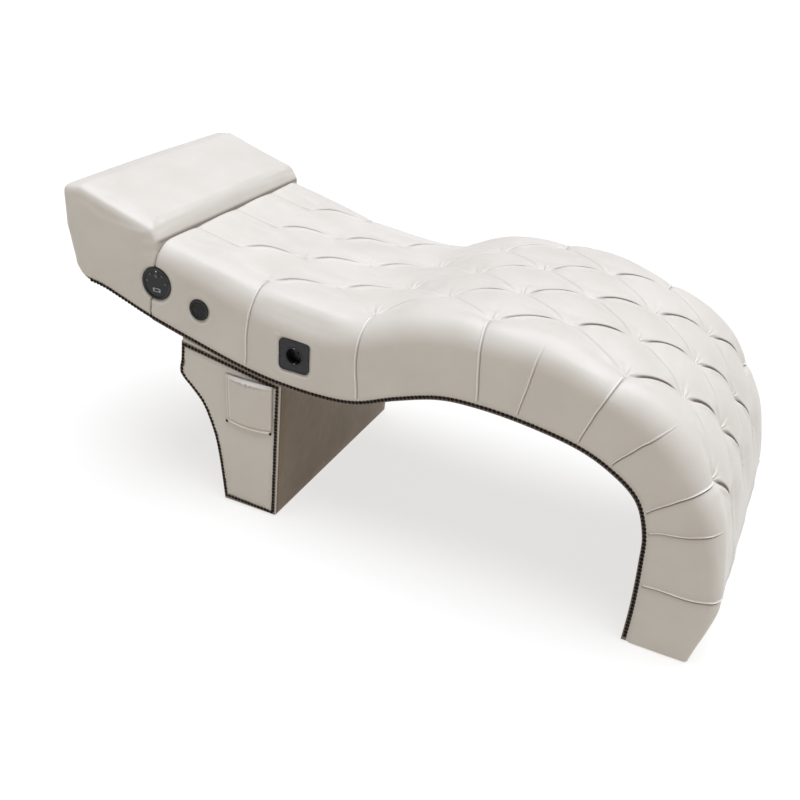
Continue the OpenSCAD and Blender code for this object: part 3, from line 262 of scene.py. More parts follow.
def points_of(mesh, kind="co"):
    """The places of a mesh's points, or their normals."""
    out = np.zeros(len(mesh.vertices) * 3, np.float32)
    mesh.vertices.foreach_get(kind, out)
    return out.reshape(-1, 3).astype(float)


def set_points(mesh, co):
    mesh.vertices.foreach_set("co", co.astype(np.float32).ravel())
    mesh.update()


def paint(obj, values, kept_as="painted_shade"):
    """Keeps shares for the material on a piece's points, 0 past the given ones."""
    kept = np.zeros(len(obj.data.vertices), np.float32)
    kept[: values.size] = values.ravel()
    obj.data.attributes.new(kept_as, "FLOAT", "POINT").data.foreach_set("value", kept)


def grid_faces(rows, cols, at=0, closed=False):
    """Quads of a grid of points that starts at number at."""
    out = []
    for r in range(rows - 1):
        for c in range(cols if closed else cols - 1):
            a, b = at + r * cols + c, at + r * cols + (c + 1) % cols
            out.append((a, b, b + cols, a + cols))
    return out


def end_faces(rows, cols):
    """The two faces that close a pile of rings."""
    return [tuple(range(cols))[::-1], tuple(range((rows - 1) * cols, rows * cols))]


def tube(name, rings):
    """A closed piece through matching rings of points."""
    rows, cols = len(rings), len(rings[0])
    faces = grid_faces(rows, cols, closed=True) + end_faces(rows, cols)
    return solid_piece(name, np.concatenate(rings), faces)


# Materials


class Shader:
    """A Principled material, with short ways to add nodes."""

    def __init__(self, name, color, **sockets):
        self.mat = bpy.data.materials.new(name)
        self.mat.use_nodes = True
        self.tree = self.mat.node_tree
        self.bsdf = self.tree.nodes["Principled BSDF"]
        self.bsdf.inputs["Base Color"].default_value = (*color, 1)
        for socket, value in sockets.items():
            self.bsdf.inputs[socket.replace("_", " ")].default_value = value
        self.coords = self.tree.nodes.new("ShaderNodeTexCoord").outputs["Object"]

    def node(self, kind, inputs, **settings):
        made = self.tree.nodes.new(kind)
        for key, value in settings.items():
            setattr(made, key, value)
        for key, value in inputs.items():
            if isinstance(value, bpy.types.NodeSocket):
                self.tree.links.new(value, made.inputs[key])
            else:
                made.inputs[key].default_value = value
        return made

    def noise(self, scale, detail=3.0, roughness=0.55, stretch=None):
        at = self.coords
        if stretch:
            at = self.node("ShaderNodeMapping", {"Vector": at, "Scale": stretch}).outputs["Vector"]
        inputs = {"Vector": at, "Scale": scale, "Detail": detail, "Roughness": roughness}
        return self.node("ShaderNodeTexNoise", inputs).outputs["Fac"]

    def ramp(self, value, *limits):
        """Maps the range of the first two limits onto that of the last two."""
        inputs = dict(zip(("From Min", "From Max", "To Min", "To Max"), limits))
        return self.node("ShaderNodeMapRange", {"Value": value, **inputs}).outputs["Result"]

    def colors(self, value, *stops):
        made = self.node("ShaderNodeValToRGB", {"Fac": value})
        for element, (at, color) in zip(made.color_ramp.elements, stops):
            element.position = at
            element.color = (*color, 1)
        return made.outputs["Color"]

    def tinted(self, color, kept_as, tint, blend):
        """A colour blended with a tint by a share kept on the points."""
        share = self.node("ShaderNodeAttribute", {}, attribute_name=kept_as).outputs["Fac"]
        inputs = {0: share, 6: color, 7: (*tint, 1)}
        return self.node("ShaderNodeMix", inputs, data_type="RGBA", blend_type=blend).outputs[2]

    def bump(self, height, distance, strength, **below):
        inputs = {"Height": height, "Distance": distance, "Strength": strength, **below}
        return self.node("ShaderNodeBump", inputs).outputs["Normal"]

    def to(self, socket, value):
        self.tree.links.new(value, self.bsdf.inputs[socket])


# What the leather's colour is multiplied by where shade is painted: at the bottoms of folds, under
# the nails and along seams
PAINTED_SHADE_TINT = (0.15, 0.10, 0.065)
# The paler colour of leather drawn tight over a ridge, which also paints a highlight there
PULL_AND_HIGHLIGHT_TINT = (0.84, 0.80, 0.74)
GRAIN_DEPTH, CRUMPLE_DEPTH = 0.00012, 0.0006


def leather(name, low, high, roughness):
    """Soft upholstery leather: fine pebbled grain, faint crumples, a soft pearly gloss."""
    s = Shader(
        name, high, Coat_Weight=0.05, Coat_Roughness=0.36, Sheen_Weight=0.12, Sheen_Roughness=0.4,
        Specular_IOR_Level=0.32,
    )
    clean = s.colors(s.noise(7.0, 4.0, 0.6), (0.3, low), (0.7, high))
    # Painted shade in the folds and creases, and painted highlights on ridges, from shares kept on
    # the points
    folded = s.tinted(clean, "painted_shade", PAINTED_SHADE_TINT, "MULTIPLY")
    s.to("Base Color", s.tinted(folded, "stretch", PULL_AND_HIGHLIGHT_TINT, "MIX"))
    s.to("Roughness", s.ramp(s.noise(40.0), 0.3, 0.7, roughness - 0.04, roughness + 0.05))
    crumpled = s.bump(s.noise(60.0, 3.0, 0.5), CRUMPLE_DEPTH, 0.5)
    pores = s.node(
        "ShaderNodeTexVoronoi", {"Vector": s.coords, "Scale": 620.0, "Randomness": 1.0},
        feature="DISTANCE_TO_EDGE",
    )
    s.to("Normal", s.bump(pores.outputs["Distance"], GRAIN_DEPTH, 0.6, Normal=crumpled))
    s.to("Coat Normal", crumpled)
    return s.mat


def wood(name, dark, light, stretch):
    s = Shader(name, light, Roughness=0.62)
    grain = s.noise(30.0, 5.0, 0.6, (1.0, stretch, stretch))
    s.to("Base Color", s.colors(grain, (0.3, dark), (0.7, light)))
    s.to("Normal", s.bump(grain, 0.0006, 0.4))
    return s.mat


def metal(name, low, high, roughness, grime=30.0):
    s = Shader(name, high, Metallic=1.0)
    dirt = s.noise(grime, 4.0, 0.65)
    s.to("Base Color", s.colors(dirt, (0.35, low), (0.68, high)))
    s.to("Roughness", s.ramp(dirt, 0.3, 0.7, roughness + 0.1, roughness - 0.05))
    return s.mat


def plastic(name, low, high, roughness, pebble=0.0):
    s = Shader(name, high, Coat_Roughness=0.08, Specular_IOR_Level=0.3)
    s.to("Base Color", s.colors(s.noise(90.0), (0.3, low), (0.7, high)))
    s.to("Roughness", s.ramp(s.noise(160.0, 4.0), 0.3, 0.7, roughness - 0.04, roughness + 0.06))
    if pebble:
        s.to("Normal", s.bump(s.noise(900.0, 2.0), pebble, 0.5))
    return s.mat


# Height across the bed, in metres, between the panel's face and the frame round its slot
FRAME_Y = -0.3286
# The face's black, and the frame's lighter grey, which is a painted highlight
FACE_COLOR, FRAME_HIGHLIGHT_COLOR = (0.009, 0.009, 0.009), (0.26, 0.26, 0.26)


def panel_face():
    """Black panel face, with the raised frame round its slot painted a lighter grey as a highlight.
    """
    s = Shader("panel face", FACE_COLOR, Roughness=0.3, Specular_IOR_Level=0.3)
    y = s.node("ShaderNodeSeparateXYZ", {"Vector": s.coords}).outputs["Y"]
    raised = s.ramp(y, FRAME_Y - 0.0001, FRAME_Y + 0.0001, 1.0, 0.0)
    s.to("Base Color", s.colors(raised, (0.2, FACE_COLOR), (0.8, FRAME_HIGHLIGHT_COLOR)))
    return s.mat


LEATHER = leather("pearl leather", (0.515, 0.458, 0.382), (0.555, 0.498, 0.420), 0.50)
# A darker leather for the pedestal's front and back and the underside, made darker still to paint
# the shade under the bed
SHADED_DARK_LEATHER = leather("taupe leather with painted shade", (0.134, 0.086, 0.041), (0.164, 0.108, 0.053), 0.46)
PLYWOOD = wood("birch plywood", (0.50, 0.34, 0.19), (0.68, 0.50, 0.31), 9.0)
SOFTWOOD = wood("pine", (0.56, 0.38, 0.20), (0.74, 0.56, 0.34), 14.0)
NAIL = metal("dark bronze nails", (0.012, 0.009, 0.008), (0.045, 0.034, 0.028), 0.36, 220.0)
GLIDE = plastic("nylon", (0.016, 0.016, 0.017), (0.024, 0.024, 0.025), 0.5)
GLOSS = plastic("satin black", (0.006, 0.006, 0.006), (0.011, 0.011, 0.011), 0.30)
RIM = plastic("black rim", (0.009, 0.009, 0.009), (0.016, 0.016, 0.016), 0.36)
KEY = plastic("grey keys", (0.05, 0.05, 0.05), (0.09, 0.09, 0.09), 0.4)
BLACK = plastic("matte black", (0.010, 0.010, 0.010), (0.019, 0.019, 0.019), 0.55, 0.00008)
CHARCOAL = plastic("charcoal plate", (0.014, 0.014, 0.015), (0.024, 0.024, 0.026), 0.42, 0.00006)
STEEL = metal("steel", (0.42, 0.42, 0.43), (0.62, 0.62, 0.63), 0.28)
BRIGHT = metal("brushed button", (0.50, 0.50, 0.51), (0.72, 0.72, 0.73), 0.24, 120.0)
BRASS = metal("brass", (0.46, 0.33, 0.12), (0.70, 0.52, 0.22), 0.3)
CIRCUIT = plastic("circuit board", (0.008, 0.07, 0.03), (0.015, 0.11, 0.05), 0.4)
FACE = panel_face()


def dress(obj, mat):
    obj.data.materials.clear()
    obj.data.materials.append(mat)


def soft_piece(obj, mat, fill, *stands_for):
    """A padded leather piece that rides on the bed and stands for CAD nodes."""
    dress(obj, mat)
    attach(obj, "bed")
    if stands_for:
        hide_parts(*stands_for)


# Fittings on the near side: centre x and z, and the sizes of the rim and of the body behind it
CONTROL_AT, CONTROL_RIM, CONTROL_BODY = place(-0.3386, 0.7343), 41.5, 35.5
SPEAKER_AT, SPEAKER_RIM, SPEAKER_BODY = place(-0.2680, 0.6832), 26.5, 22.5
SOCKET_AT, PLATE_HALF, PLATE_R, BOX_R = place(-0.1135, 0.6178), 40.0, 13.0, 31.0
HOLE_PLAY, HOLE_DEPTH, HOLE_SIDES = 0.4, 80.0, 64
# The leather's dip under a rim, and its puff beside one
RIM_DIP, RIM_PUFF = 3.3, 1.5


def fitting_distance(x, z):
    """Distance outside the nearest fitting's rim, below 0 behind it."""
    control = np.hypot(x - CONTROL_AT[0], z - CONTROL_AT[1]) - CONTROL_RIM
    speaker = np.hypot(x - SPEAKER_AT[0], z - SPEAKER_AT[1]) - SPEAKER_RIM
    px = np.abs(x - SOCKET_AT[0]) - (PLATE_HALF - PLATE_R)
    pz = np.abs(z - SOCKET_AT[1]) - (PLATE_HALF - PLATE_R)
    corner = np.hypot(np.maximum(px, 0), np.maximum(pz, 0))
    plate = corner + np.minimum(np.maximum(px, pz), 0) - PLATE_R
    return np.minimum(np.minimum(control, speaker), plate)


def fitting_dip(x, z):
    """How far the leather lies behind the side's face round the fittings."""
    d = fitting_distance(x, z)
    dip = np.where(d < 1.0, RIM_DIP, RIM_DIP * bump_at(d, 1.0, 4.0))
    return dip - RIM_PUFF * bump_at(d, 12.0, 7.0)


def cut_round(obj, at, radius):
    """Cuts a round hole into the near side of a piece, for the body of a fitting."""
    tool = bpy.data.meshes.new("cutter")
    bm = bmesh.new()
    middle = Matrix.Translation((at[0] * MM, -HALF_W * MM, at[1] * MM))
    r = (radius + HOLE_PLAY) * MM
    bmesh.ops.create_cone(
        bm, cap_ends=True, segments=HOLE_SIDES, radius1=r, radius2=r, depth=HOLE_DEPTH * MM,
        matrix=middle @ Matrix.Rotation(pi / 2, 4, "X"),
    )
    bm.to_mesh(tool)
    bm.free()
    cut(obj, add_object("cutter", tool))
    obj.data.shade_smooth()


# Tufting. The field is in tuft steps: a along the bed, b across it, with a tuft where a + b is
# even. The distance between neighbouring creases is the same both ways.
STEPS = 36
FLAT_HALF = OUTER_ROW * STEPS
CREASE_GAP = 2 / hypot(1 / TUFT_HALF, 1 / TUFT_ROW)
TUFT_DEPTH, FLAT_DEPTH_SHARE = 24.0, 0.5
SLIT_AT, SLIT_DEPTH, SLIT_HALF = -3.6, 5.0, 2.6
LIP_AT, LIP_HALF, NEAR_LIP, HEAD_LIP = 9.0, 6.0, 2.4, 1.6
SOFT_VALLEY, BOW_HEAD, BOW_HUMP = 0.11, 0.12, 0.06
# How steeply a pillow rises, and how round it is: from soft creases, near and far side of slits
SOFT_RISE, NEAR_RISE, FAR_RISE = (2.2, 0.85), (3.4, 0.55), (1.9, 0.95)
# Painted shade: half width of the dark lines on the slits and on the soft creases, and of the dark
# spot at a tuft
SLIT_LINE, SOFT_LINE, TUFT_SPOT = 2.6, 2.4, 4.0
SOFT_LINE_SHADE, TUFT_SPOT_SHADE = 0.2, 0.35
# Fans of short folds: height, reach, half angle, and the seed of their shapes
FAN_HEIGHT, FAN_REACH, FAN_ANGLE, FAN_SEED = 1.8, 32.0, 1.1, 77

# Pull creases down the side: tuft step at the top edge, in the middle and at the nails, how far
# above the edge they start (0 at a tuft, 1 softly on the edge), and their depth share
SIDE_CREASES = [
    (1.0, 1.12, 1.30, 0.0, 1.0),
    (3.0, 2.95, 3.03, 0.0, 1.0),
    (5.0, 5.03, 5.11, 0.0, 1.0),
    (5.889, 5.86, 5.80, 1.0, 0.75),
    (7.0, 7.00, 6.95, 0.0, 1.0),
    (8.0, 7.88, 7.69, 1.0, 0.9),
    (9.0, 9.07, 8.93, 0.0, 1.1),
    (9.806, 9.83, 9.46, 1.0, 1.1),
    (11.056, 11.10, 10.84, 0.6, 1.2),
]
# A side crease, the small ridge beside it and the wide dip round both: height, place, half width
CREASE_PROFILE = ((-3.4, 0.4, 1.4), (2.6, -3.0, 1.9), (-1.6, 0, 16.0))
# How far the near row of tufts lies off its even steps, in millimetres, by tuft step
NEAR_DRIFT = ((1.0, 3.0, 5.0, 7.0, 9.0, 10.0, 11.5), (0.0, -8.0, -8.0, 17.0, 33.0, 24.0, 0.0))


def on_hump(a, start=2.0):
    """0 over the shallow tufts by the headrest, 1 over the full ones further on."""
    return ease((a - start) / 3.0)


def tuft_grid(a, y):
    """Place between the creases. A crease runs where p or q is a whole number, a tuft where both
    are, and the creases of q bow to the far side between their tufts."""
    row = np.clip(y / TUFT_ROW, -OUTER_ROW, OUTER_ROW)
    a_in = np.clip(a, 0, LAST_TUFT)
    p = (a_in + row) / 2
    bow = BOW_HEAD + (BOW_HUMP - BOW_HEAD) * on_hump(a)
    return p, (a_in - row) / 2 + bow * np.sin(pi * p) ** 2


def off_crease(p):
    """How far a place lies from the nearest crease: 0 on it, -1 or 1 halfway to the next."""
    return 2 * (p - np.round(p))


def pillow_rise(u, steep, round_off):
    return (1 - (1 - u) ** steep) ** round_off


def tuft_height(a, y):
    """Height of the tufted top against its smooth crown, mostly below 0."""
    p, q = tuft_grid(a, y)
    side_p, side_q = off_crease(p), off_crease(q)
    up, uq = np.abs(side_p), np.abs(side_q)
    up_soft = np.sqrt(up**2 + SOFT_VALLEY**2) - SOFT_VALLEY
    fp = pillow_rise(up_soft / (hypot(1, SOFT_VALLEY) - SOFT_VALLEY), *SOFT_RISE)
    fp += (1 - fp) * (0.45 - 0.27 * on_hump(a, 2.5))
    # Pillows rise steeply on the near side of a slit and gently on its far side
    fq = np.where(side_q > 0, pillow_rise(uq, *NEAR_RISE), pillow_rise(uq, *FAR_RISE))
    pillow = 0.50 * np.maximum(fp, fq) ** 0.9 + 0.50 * (fp * fq) ** 0.75
    deep = FLAT_DEPTH_SHARE + (1 - FLAT_DEPTH_SHARE) * ease((a - 1.0) / 3.2)
    deep *= 0.45 + 0.55 * ease((a + 0.85) / 0.95)
    height = -TUFT_DEPTH * deep * (1 - pillow)
    # Folded slits along the creases that run to the foot and the far side
    across_q = side_q * CREASE_GAP / 2
    middle = ease(up * 2.0)
    height -= SLIT_DEPTH * bump_at(across_q, SLIT_AT, SLIT_HALF) * middle
    height += NEAR_LIP * bump_at(across_q, LIP_AT, LIP_HALF) * middle
    # A soft lip on the head side of the other creases
    lip = HEAD_LIP * bump_at(side_p * CREASE_GAP / 2, -LIP_AT, LIP_HALF)
    height += lip * ease((uq - 0.15) * 2.5) * on_hump(a)
    height += gather_folds(a, y)
    # The front below the last tufts is plain
    height *= np.clip(1 - 1.4 * np.maximum(0, a - LAST_TUFT), 0, 1)
    return height


def tuft_shade(a, y):
    """Painted shade at the bottoms of the folds and at the tufts, from 0 to 1."""
    p, q = tuft_grid(a, y)
    up = np.abs(off_crease(p))
    across_p, across_q = off_crease(p) * CREASE_GAP / 2, off_crease(q) * CREASE_GAP / 2
    # The painted dark line moves down the slit's near wall on its way to the next tuft
    line_at = -3.8 - 4.2 * ease((p - np.floor(p)) * 1.3)
    line = bump_at(across_q, line_at, SLIT_LINE) * ease((up - 0.18) / 0.4)
    line *= 0.6 + 0.4 * on_hump(a, 2.5)
    soft = SOFT_LINE_SHADE * bump_at(across_p, 0, SOFT_LINE)
    soft = soft * ease((np.abs(across_q) - 12.0) / 30.0) * on_hump(a)
    tuft = TUFT_SPOT_SHADE * bump_at(np.hypot(across_q, up * CREASE_GAP / 2), 0, TUFT_SPOT)
    lead = 0.35 + 0.65 * ease((a + 0.3) / 0.3)
    faded = np.where(a > LAST_TUFT, np.clip(1 - 3 * (a - LAST_TUFT), 0, 1), 1.0)
    return np.maximum(np.maximum(line, soft), tuft) * lead * faded


def gather_folds(a, y):
    """Short folds that fan out from each tuft, away from the near side."""
    b = y / TUFT_ROW
    total = np.zeros(np.broadcast(a, b).shape)
    rng = np.random.default_rng(FAN_SEED)
    for ta in range(0, LAST_TUFT + 1):
        for tb in range(-OUTER_ROW, OUTER_ROW + 1):
            phase, lean = rng.uniform(0, 6.28), rng.uniform(-0.35, 0.35)
            size = rng.uniform(0.6, 1.15)
            if (ta + tb) % 2 or tb == OUTER_ROW:
                continue
            dx, dy = (a - ta) * TUFT_HALF, (b - tb) * TUFT_ROW
            r = np.hypot(dx, dy)
            angle = np.arctan2(dx, dy) - lean
            window = np.clip(np.cos(angle * 1.35), 0, 1) ** 1.5 * (np.abs(angle) < FAN_ANGLE)
            ridge = np.sin(angle * (11.0 + 3.0 * lean) + phase)
            fan = size * FAN_HEIGHT * ridge * window
            total += fan * ease((r - 3.0) / 9.0) * bump_at(r, 0, FAN_REACH)
    return total


def side_creases(h, a_rows, down):
    """Adds the pull creases to the side's relief h. Also gives the painted shade along them, and
    how much paler the leather drawn tight beside them is, which also paints a highlight there."""
    dark = pulled_and_lit = 0.0
    for step, _, _, soft, strength in SIDE_CREASES:
        d = ((a_rows - step) * TUFT_HALF)[:, None]
        reach = ease((down - 0.10 * soft) / (0.10 + 0.22 * soft))
        dark = np.maximum(dark, 0.5 * strength * bump_at(d, 0.9, 1.2) * reach)
        pulled_and_lit = np.maximum(pulled_and_lit, 0.62 * bump_at(d, -2.8, 1.7) * reach)
        profile = sum(height * bump_at(d, at, width) for height, at, width in CREASE_PROFILE)
        if step > LAST_TUFT:
            reach = 0.55 + 0.45 * reach
        h = h + profile * strength * reach
    return h, dark, pulled_and_lit


# Columns of the body's skin: on a side, on a rolled edge, or on the flat top
SIDE, EDGE, TOP = 0, 1, 2
SIDE_COLS, EDGE_COLS, EDGE_DOWN = 40, 24, 0.38
# Rows lie four times closer within seven lines of a side crease
FINER, CREASE_LINES = 4, 7
# Heights of the lowest lines of points above the bottom edge, round the row of nails
LOW_LINES = (0.0, 1.2, 10.6, 11.8, 15.0, 21.0)
# The share of the slant of the near side's creases that the far side's have
FAR_SLANT = 0.6
# The cloth: every third point, its largest move, and where and how firmly it is held
CLOTH_STEP, CLOTH_CAP, HELD_TUFT, HELD_CREASE, HELD_SHARE = 3, 4.0, 12.0, 7.0, 0.75


def body_rows():
    """Tuft steps of the rows of points, finer where side creases run."""
    fine = STEPS * FINER
    first = -TUFT_START / TUFT_HALF
    last = (CROWN_LENGTH[-1] - TUFT_START) / TUFT_HALF
    low, high = ceil(first * STEPS) * FINER, floor(last * STEPS) * FINER
    ticks = set(range(low, high + 1, FINER))
    for crease in SIDE_CREASES:
        middle = round(crease[0] * fine)
        ticks |= set(range(middle - CREASE_LINES, middle + CREASE_LINES + 1))
    a = np.array(sorted(ticks)) / fine
    return np.concatenate([[first], a[(a > first + 0.01) & (a < last - 0.01)], [last]])


def body_columns():
    """Kind of each column from the near bottom edge over to the far one, the share of its side
    or edge that it lies at, its side of the bed, and its place across the flat top."""
    flat = np.arange(-FLAT_HALF, FLAT_HALF + 1) * TUFT_ROW / STEPS
    kind = np.repeat([SIDE, EDGE], [SIDE_COLS, EDGE_COLS])
    up, edge = np.linspace(0, 1, SIDE_COLS + 1)[:-1], np.linspace(1, 0, EDGE_COLS + 1)[:-1]
    share = np.concatenate([up, edge])
    none = np.zeros(len(share))
    return (
        np.concatenate([kind, np.full(len(flat), TOP), kind[::-1]]),
        np.concatenate([share, np.zeros(len(flat)), share[::-1]]),
        np.concatenate([none - 1, np.sign(flat), none + 1]),
        np.concatenate([none, flat, none]),
    )


def slanted_steps(a_rows, down, kind, way, flat_y):
    """Tuft steps of all points. The rows follow the creases down the side, and by the near edge
    the tufts lie a little off their even steps."""
    tops, mids, lows = np.array(SIDE_CREASES).T[:3]
    knots = np.concatenate([[a_rows[0]], tops, [a_rows[-1]]])
    mid_shift, low_shift = (
        np.interp(a_rows, knots, np.pad(part - tops, 1))[:, None] for part in (mids, lows)
    )
    to_mid, to_low = ease(down / 0.55), ease((down - 0.45) / 0.55)
    slant = (way < 0) * 1.0 + (way > 0) * FAR_SLANT
    a = a_rows[:, None] + (mid_shift * to_mid + (low_shift - mid_shift) * to_low) * slant
    by_near_edge = np.where(
        kind == TOP, ease((-flat_y / TUFT_ROW - 1.0) / 2.0), (way < 0) * (1 - to_mid)
    )
    return a + (np.interp(a_rows, *NEAR_DRIFT) / TUFT_HALF)[:, None] * by_near_edge


def smooth_skin(t, kind, share, way, flat_y):
    """Points of the skin before its tufts and creases, how high each side point lies above the
    bottom edge, and how far each point lies past the flat top."""
    r, e = foam(t), edge_radius(t)
    base, low, top_way = deck_line(t), under(t), across(t)
    full = np.linalg.norm(base - low, axis=-1) + r - e
    # The flat top ends where the edge's arc starts, or a little beyond
    flat_end, arc_start = OUTER_ROW * TUFT_ROW, HALF_W - e
    beyond = np.clip(np.abs(flat_y) - arc_start, 0, 0.9 * e)
    top_fall = e - np.sqrt(e**2 - beyond**2)
    start_angle = np.arcsin(np.clip((flat_end - arc_start) / e, 0, 0.9))
    short = np.clip(arc_start - flat_end, 0, None)
    # Along the edge: first what is left of the flat top, then the arc
    run = short + e * (pi / 2 - start_angle)
    along = run * share
    on_arc = np.clip(along - short, 0, None) / e + start_angle
    edge_y = np.where(along < short, flat_end + along, arc_start + e * np.sin(on_arc))
    edge_rise = np.where(along < short, r, r - e + e * np.cos(on_arc))
    y = np.where(kind == TOP, flat_y, np.where(kind == EDGE, way * edge_y, way * HALF_W))
    rise = np.where(kind == TOP, r - top_fall, np.where(kind == EDGE, edge_rise, 0.0))
    number = np.arange(SIDE_COLS)
    number = np.concatenate([number, np.zeros(len(kind) - 2 * SIDE_COLS), number[::-1]])
    last_low = len(LOW_LINES) - 1
    upper = (full - LOW_LINES[-1]) * (number - last_low) / (SIDE_COLS - last_low)
    lower = np.interp(number, range(last_low + 1), LOW_LINES)
    side_run = np.where(number > last_low, LOW_LINES[-1] + upper, lower)
    on_side, on_top = low + side_run[..., None] * top_way, base + rise[..., None] * top_way
    xz = np.where((kind == SIDE)[:, None], on_side, on_top)
    past_top = np.where(kind == TOP, 0.0, np.where(kind == EDGE, along, run + full - side_run))
    return xyz(xz[..., 0], y, xz[..., 1]), side_run, past_top


def skin_normals(points):
    normal = np.cross(np.gradient(points, axis=1), np.gradient(points, axis=0))
    normal /= np.linalg.norm(normal, axis=-1, keepdims=True) + 1e-9
    rows, cols = points.shape[:2]
    return -normal if normal[rows // 2, cols // 2, 2] < 0 else normal


def spread(values, at, wanted):
    """Values known at some numbers along the first axis, at the wanted numbers."""
    i = np.clip(np.searchsorted(at, wanted) - 1, 0, len(at) - 2)
    u = ((wanted - at[i]) / (at[i + 1] - at[i])).reshape(-1, *[1] * (values.ndim - 1))
    return values[i] * (1 - u) + values[i + 1] * u


def body_swell(skin, a_rows, down, kind, flat_y, border):
    """How the skin moves as cloth under pressure, held at its tufts, creases and sides."""
    n_cols = skin.shape[1]
    ticks = np.arange(a_rows[0], a_rows[-1], CLOTH_STEP / STEPS)
    rows = np.unique(np.concatenate([np.searchsorted(a_rows, ticks), [len(a_rows) - 1]]))
    cols = np.unique(np.concatenate([np.arange(0, n_cols, CLOTH_STEP), [n_cols - 1]]))
    from_p, from_q = (
        np.abs(off_crease(place_in)) * CREASE_GAP / 2
        for place_in in tuft_grid(a_rows[rows][:, None], flat_y[cols][None, :])
    )
    on_top = kind[cols][None, :] == TOP
    tuft = on_top & (np.maximum(from_p, from_q) < HELD_TUFT)
    line = on_top & (np.minimum(from_p, from_q) < HELD_CREASE)
    held = np.where(tuft, 1.0, np.where(line, HELD_SHARE, 0.0))
    held = np.maximum(held, ease((down[cols][None, :] - 0.25) / 0.2))
    held[:3, :] = 1.0
    held[-2:, :] = 1.0
    part = skin[np.ix_(rows, cols)]
    obj = new_piece("cloth_body", part.reshape(-1, 3), grid_faces(len(rows), len(cols)))
    start = points_of(obj.data)
    swell(obj, held.ravel(), CLOTH_CAP)
    moved = (points_of(obj.data) - start).reshape(part.shape) / MM
    bpy.data.objects.remove(obj)
    for _ in range(2):
        inside = moved[1:-1, 1:-1] * 2 + moved[:-2, 1:-1] + moved[2:, 1:-1]
        moved[1:-1, 1:-1] = (inside + moved[1:-1, :-2] + moved[1:-1, 2:]) / 6
    moved = spread(moved, a_rows[rows], a_rows).transpose(1, 0, 2)
    moved = spread(moved, cols.astype(float), np.arange(n_cols, dtype=float))
    return moved.transpose(1, 0, 2) * (1 - border)[..., None]


def ring_faces(ring):
    """Faces of the body, with each cell cut along its shorter diagonal, as creases run."""
    rows, n = ring.shape[:2]
    drop = np.linalg.norm(ring[1:, :-1] - ring[:-1, 1:], axis=-1)
    rise = np.linalg.norm(ring[:-1, :-1] - ring[1:, 1:], axis=-1)
    faces = []
    for i in range(rows - 1):
        for j in range(n):
            a0, b0 = i * n + j, i * n + (j + 1) % n
            a1, b1 = a0 + n, b0 + n
            if j < n - 1 and drop[i, j] < rise[i, j]:
                faces += [(a0, b0, a1), (b0, b1, a1)]
            else:
                faces += [(a0, b0, b1), (a0, b1, a1)]
    return faces + end_faces(rows, n)


def make_body():
    """Tufted top, rolled edges and side covers of the body, as one leather skin."""
    a_rows = body_rows()
    kind, share, way, flat_y = body_columns()
    # How far down a column lies: 0 on the top, 1 at the bottom edge
    side_down = EDGE_DOWN + (1 - EDGE_DOWN) * (1 - share)
    down = np.where(kind == TOP, 0.0, np.where(kind == EDGE, EDGE_DOWN * share, side_down))
    s = TUFT_START + slanted_steps(a_rows, down, kind, way, flat_y) * TUFT_HALF
    t = row_at(s)
    points, side_run, past_top = smooth_skin(t, kind, share, way, flat_y)
    normal = skin_normals(points)
    # Tufts and pillows on the top, fading over the edge
    a, tuft_y = a_rows[:, None], np.where(kind == TOP, flat_y, way * OUTER_ROW * TUFT_ROW)
    fade = 0.05 + 0.95 * np.exp(-((past_top / 34.0) ** 1.3))
    h, dark, pulled_and_lit = side_creases(tuft_height(a, tuft_y) * fade, a_rows, down)
    # The sides puff out between the creases and lie flat under the nails
    puffed = ease((down - 0.25) / 0.3)
    puffed = puffed * np.where(kind == SIDE, ease((side_run - NAIL_BAND) / 40.0), 1.0)
    h += 1.2 * puffed * slow_noise(s / 46.0, down * 3.2 + way * 2.0, 3)
    h += 0.5 * slow_noise(s / 22.0, points[..., 1] / 22.0 + down * 4, 5, 2)
    border = ease((NAIL_BAND + NAIL_FADE - side_run) / NAIL_FADE) * (kind == SIDE)
    h = h * (1 - border) - NAIL_SINK * border
    near_side = (kind == SIDE) & (way < 0)
    h -= np.where(near_side, fitting_dip(points[..., 0], points[..., 2]), 0.0)
    # The leather swells between the tufts and creases as cloth does
    swelled = body_swell(points + normal * h[..., None], a_rows, down, kind, flat_y, border)
    # The seam towards the headrest: the first rows turn in
    crown_run = TUFT_START + a_rows * TUFT_HALF
    h -= 2.2 * bump_at(crown_run - crown_run[0], 0, 3.0)[:, None]
    skin = points + normal * h[..., None] + swelled
    # Inside: down the covers' inner face and along the deck
    straight = row_at(crown_run)
    deck = deck_line(straight) + FIT_GAP * across(straight)
    inner = [
        xyz(line[:, 0], sign * (HALF_W - SIDE_T), line[:, 1])
        for sign, line in ((1, under(t[:, -1])), (1, deck), (-1, deck), (-1, under(t[:, 0])))
    ]
    ring = np.concatenate([skin, np.stack(inner, axis=1)], axis=1)
    obj = solid_piece("body_leather", ring.reshape(-1, 3), ring_faces(ring))
    # Painted shade at the bottoms of the folds and creases
    shade = np.maximum(tuft_shade(a, tuft_y) * fade**2, dark * (1 - border))
    # Painted shade under and between the nails
    shade = np.where((kind == SIDE) & (side_run < NAIL_SHADE_H), NAIL_PAINTED_SHADE, shade)
    # Keeps the painted shade and the painted highlights on the points for the material
    for values, kept_as in ((shade, "painted_shade"), (pulled_and_lit * (1 - border), "stretch")):
        paint(obj, np.pad(values, ((0, 0), (0, len(inner)))), kept_as)
    return obj


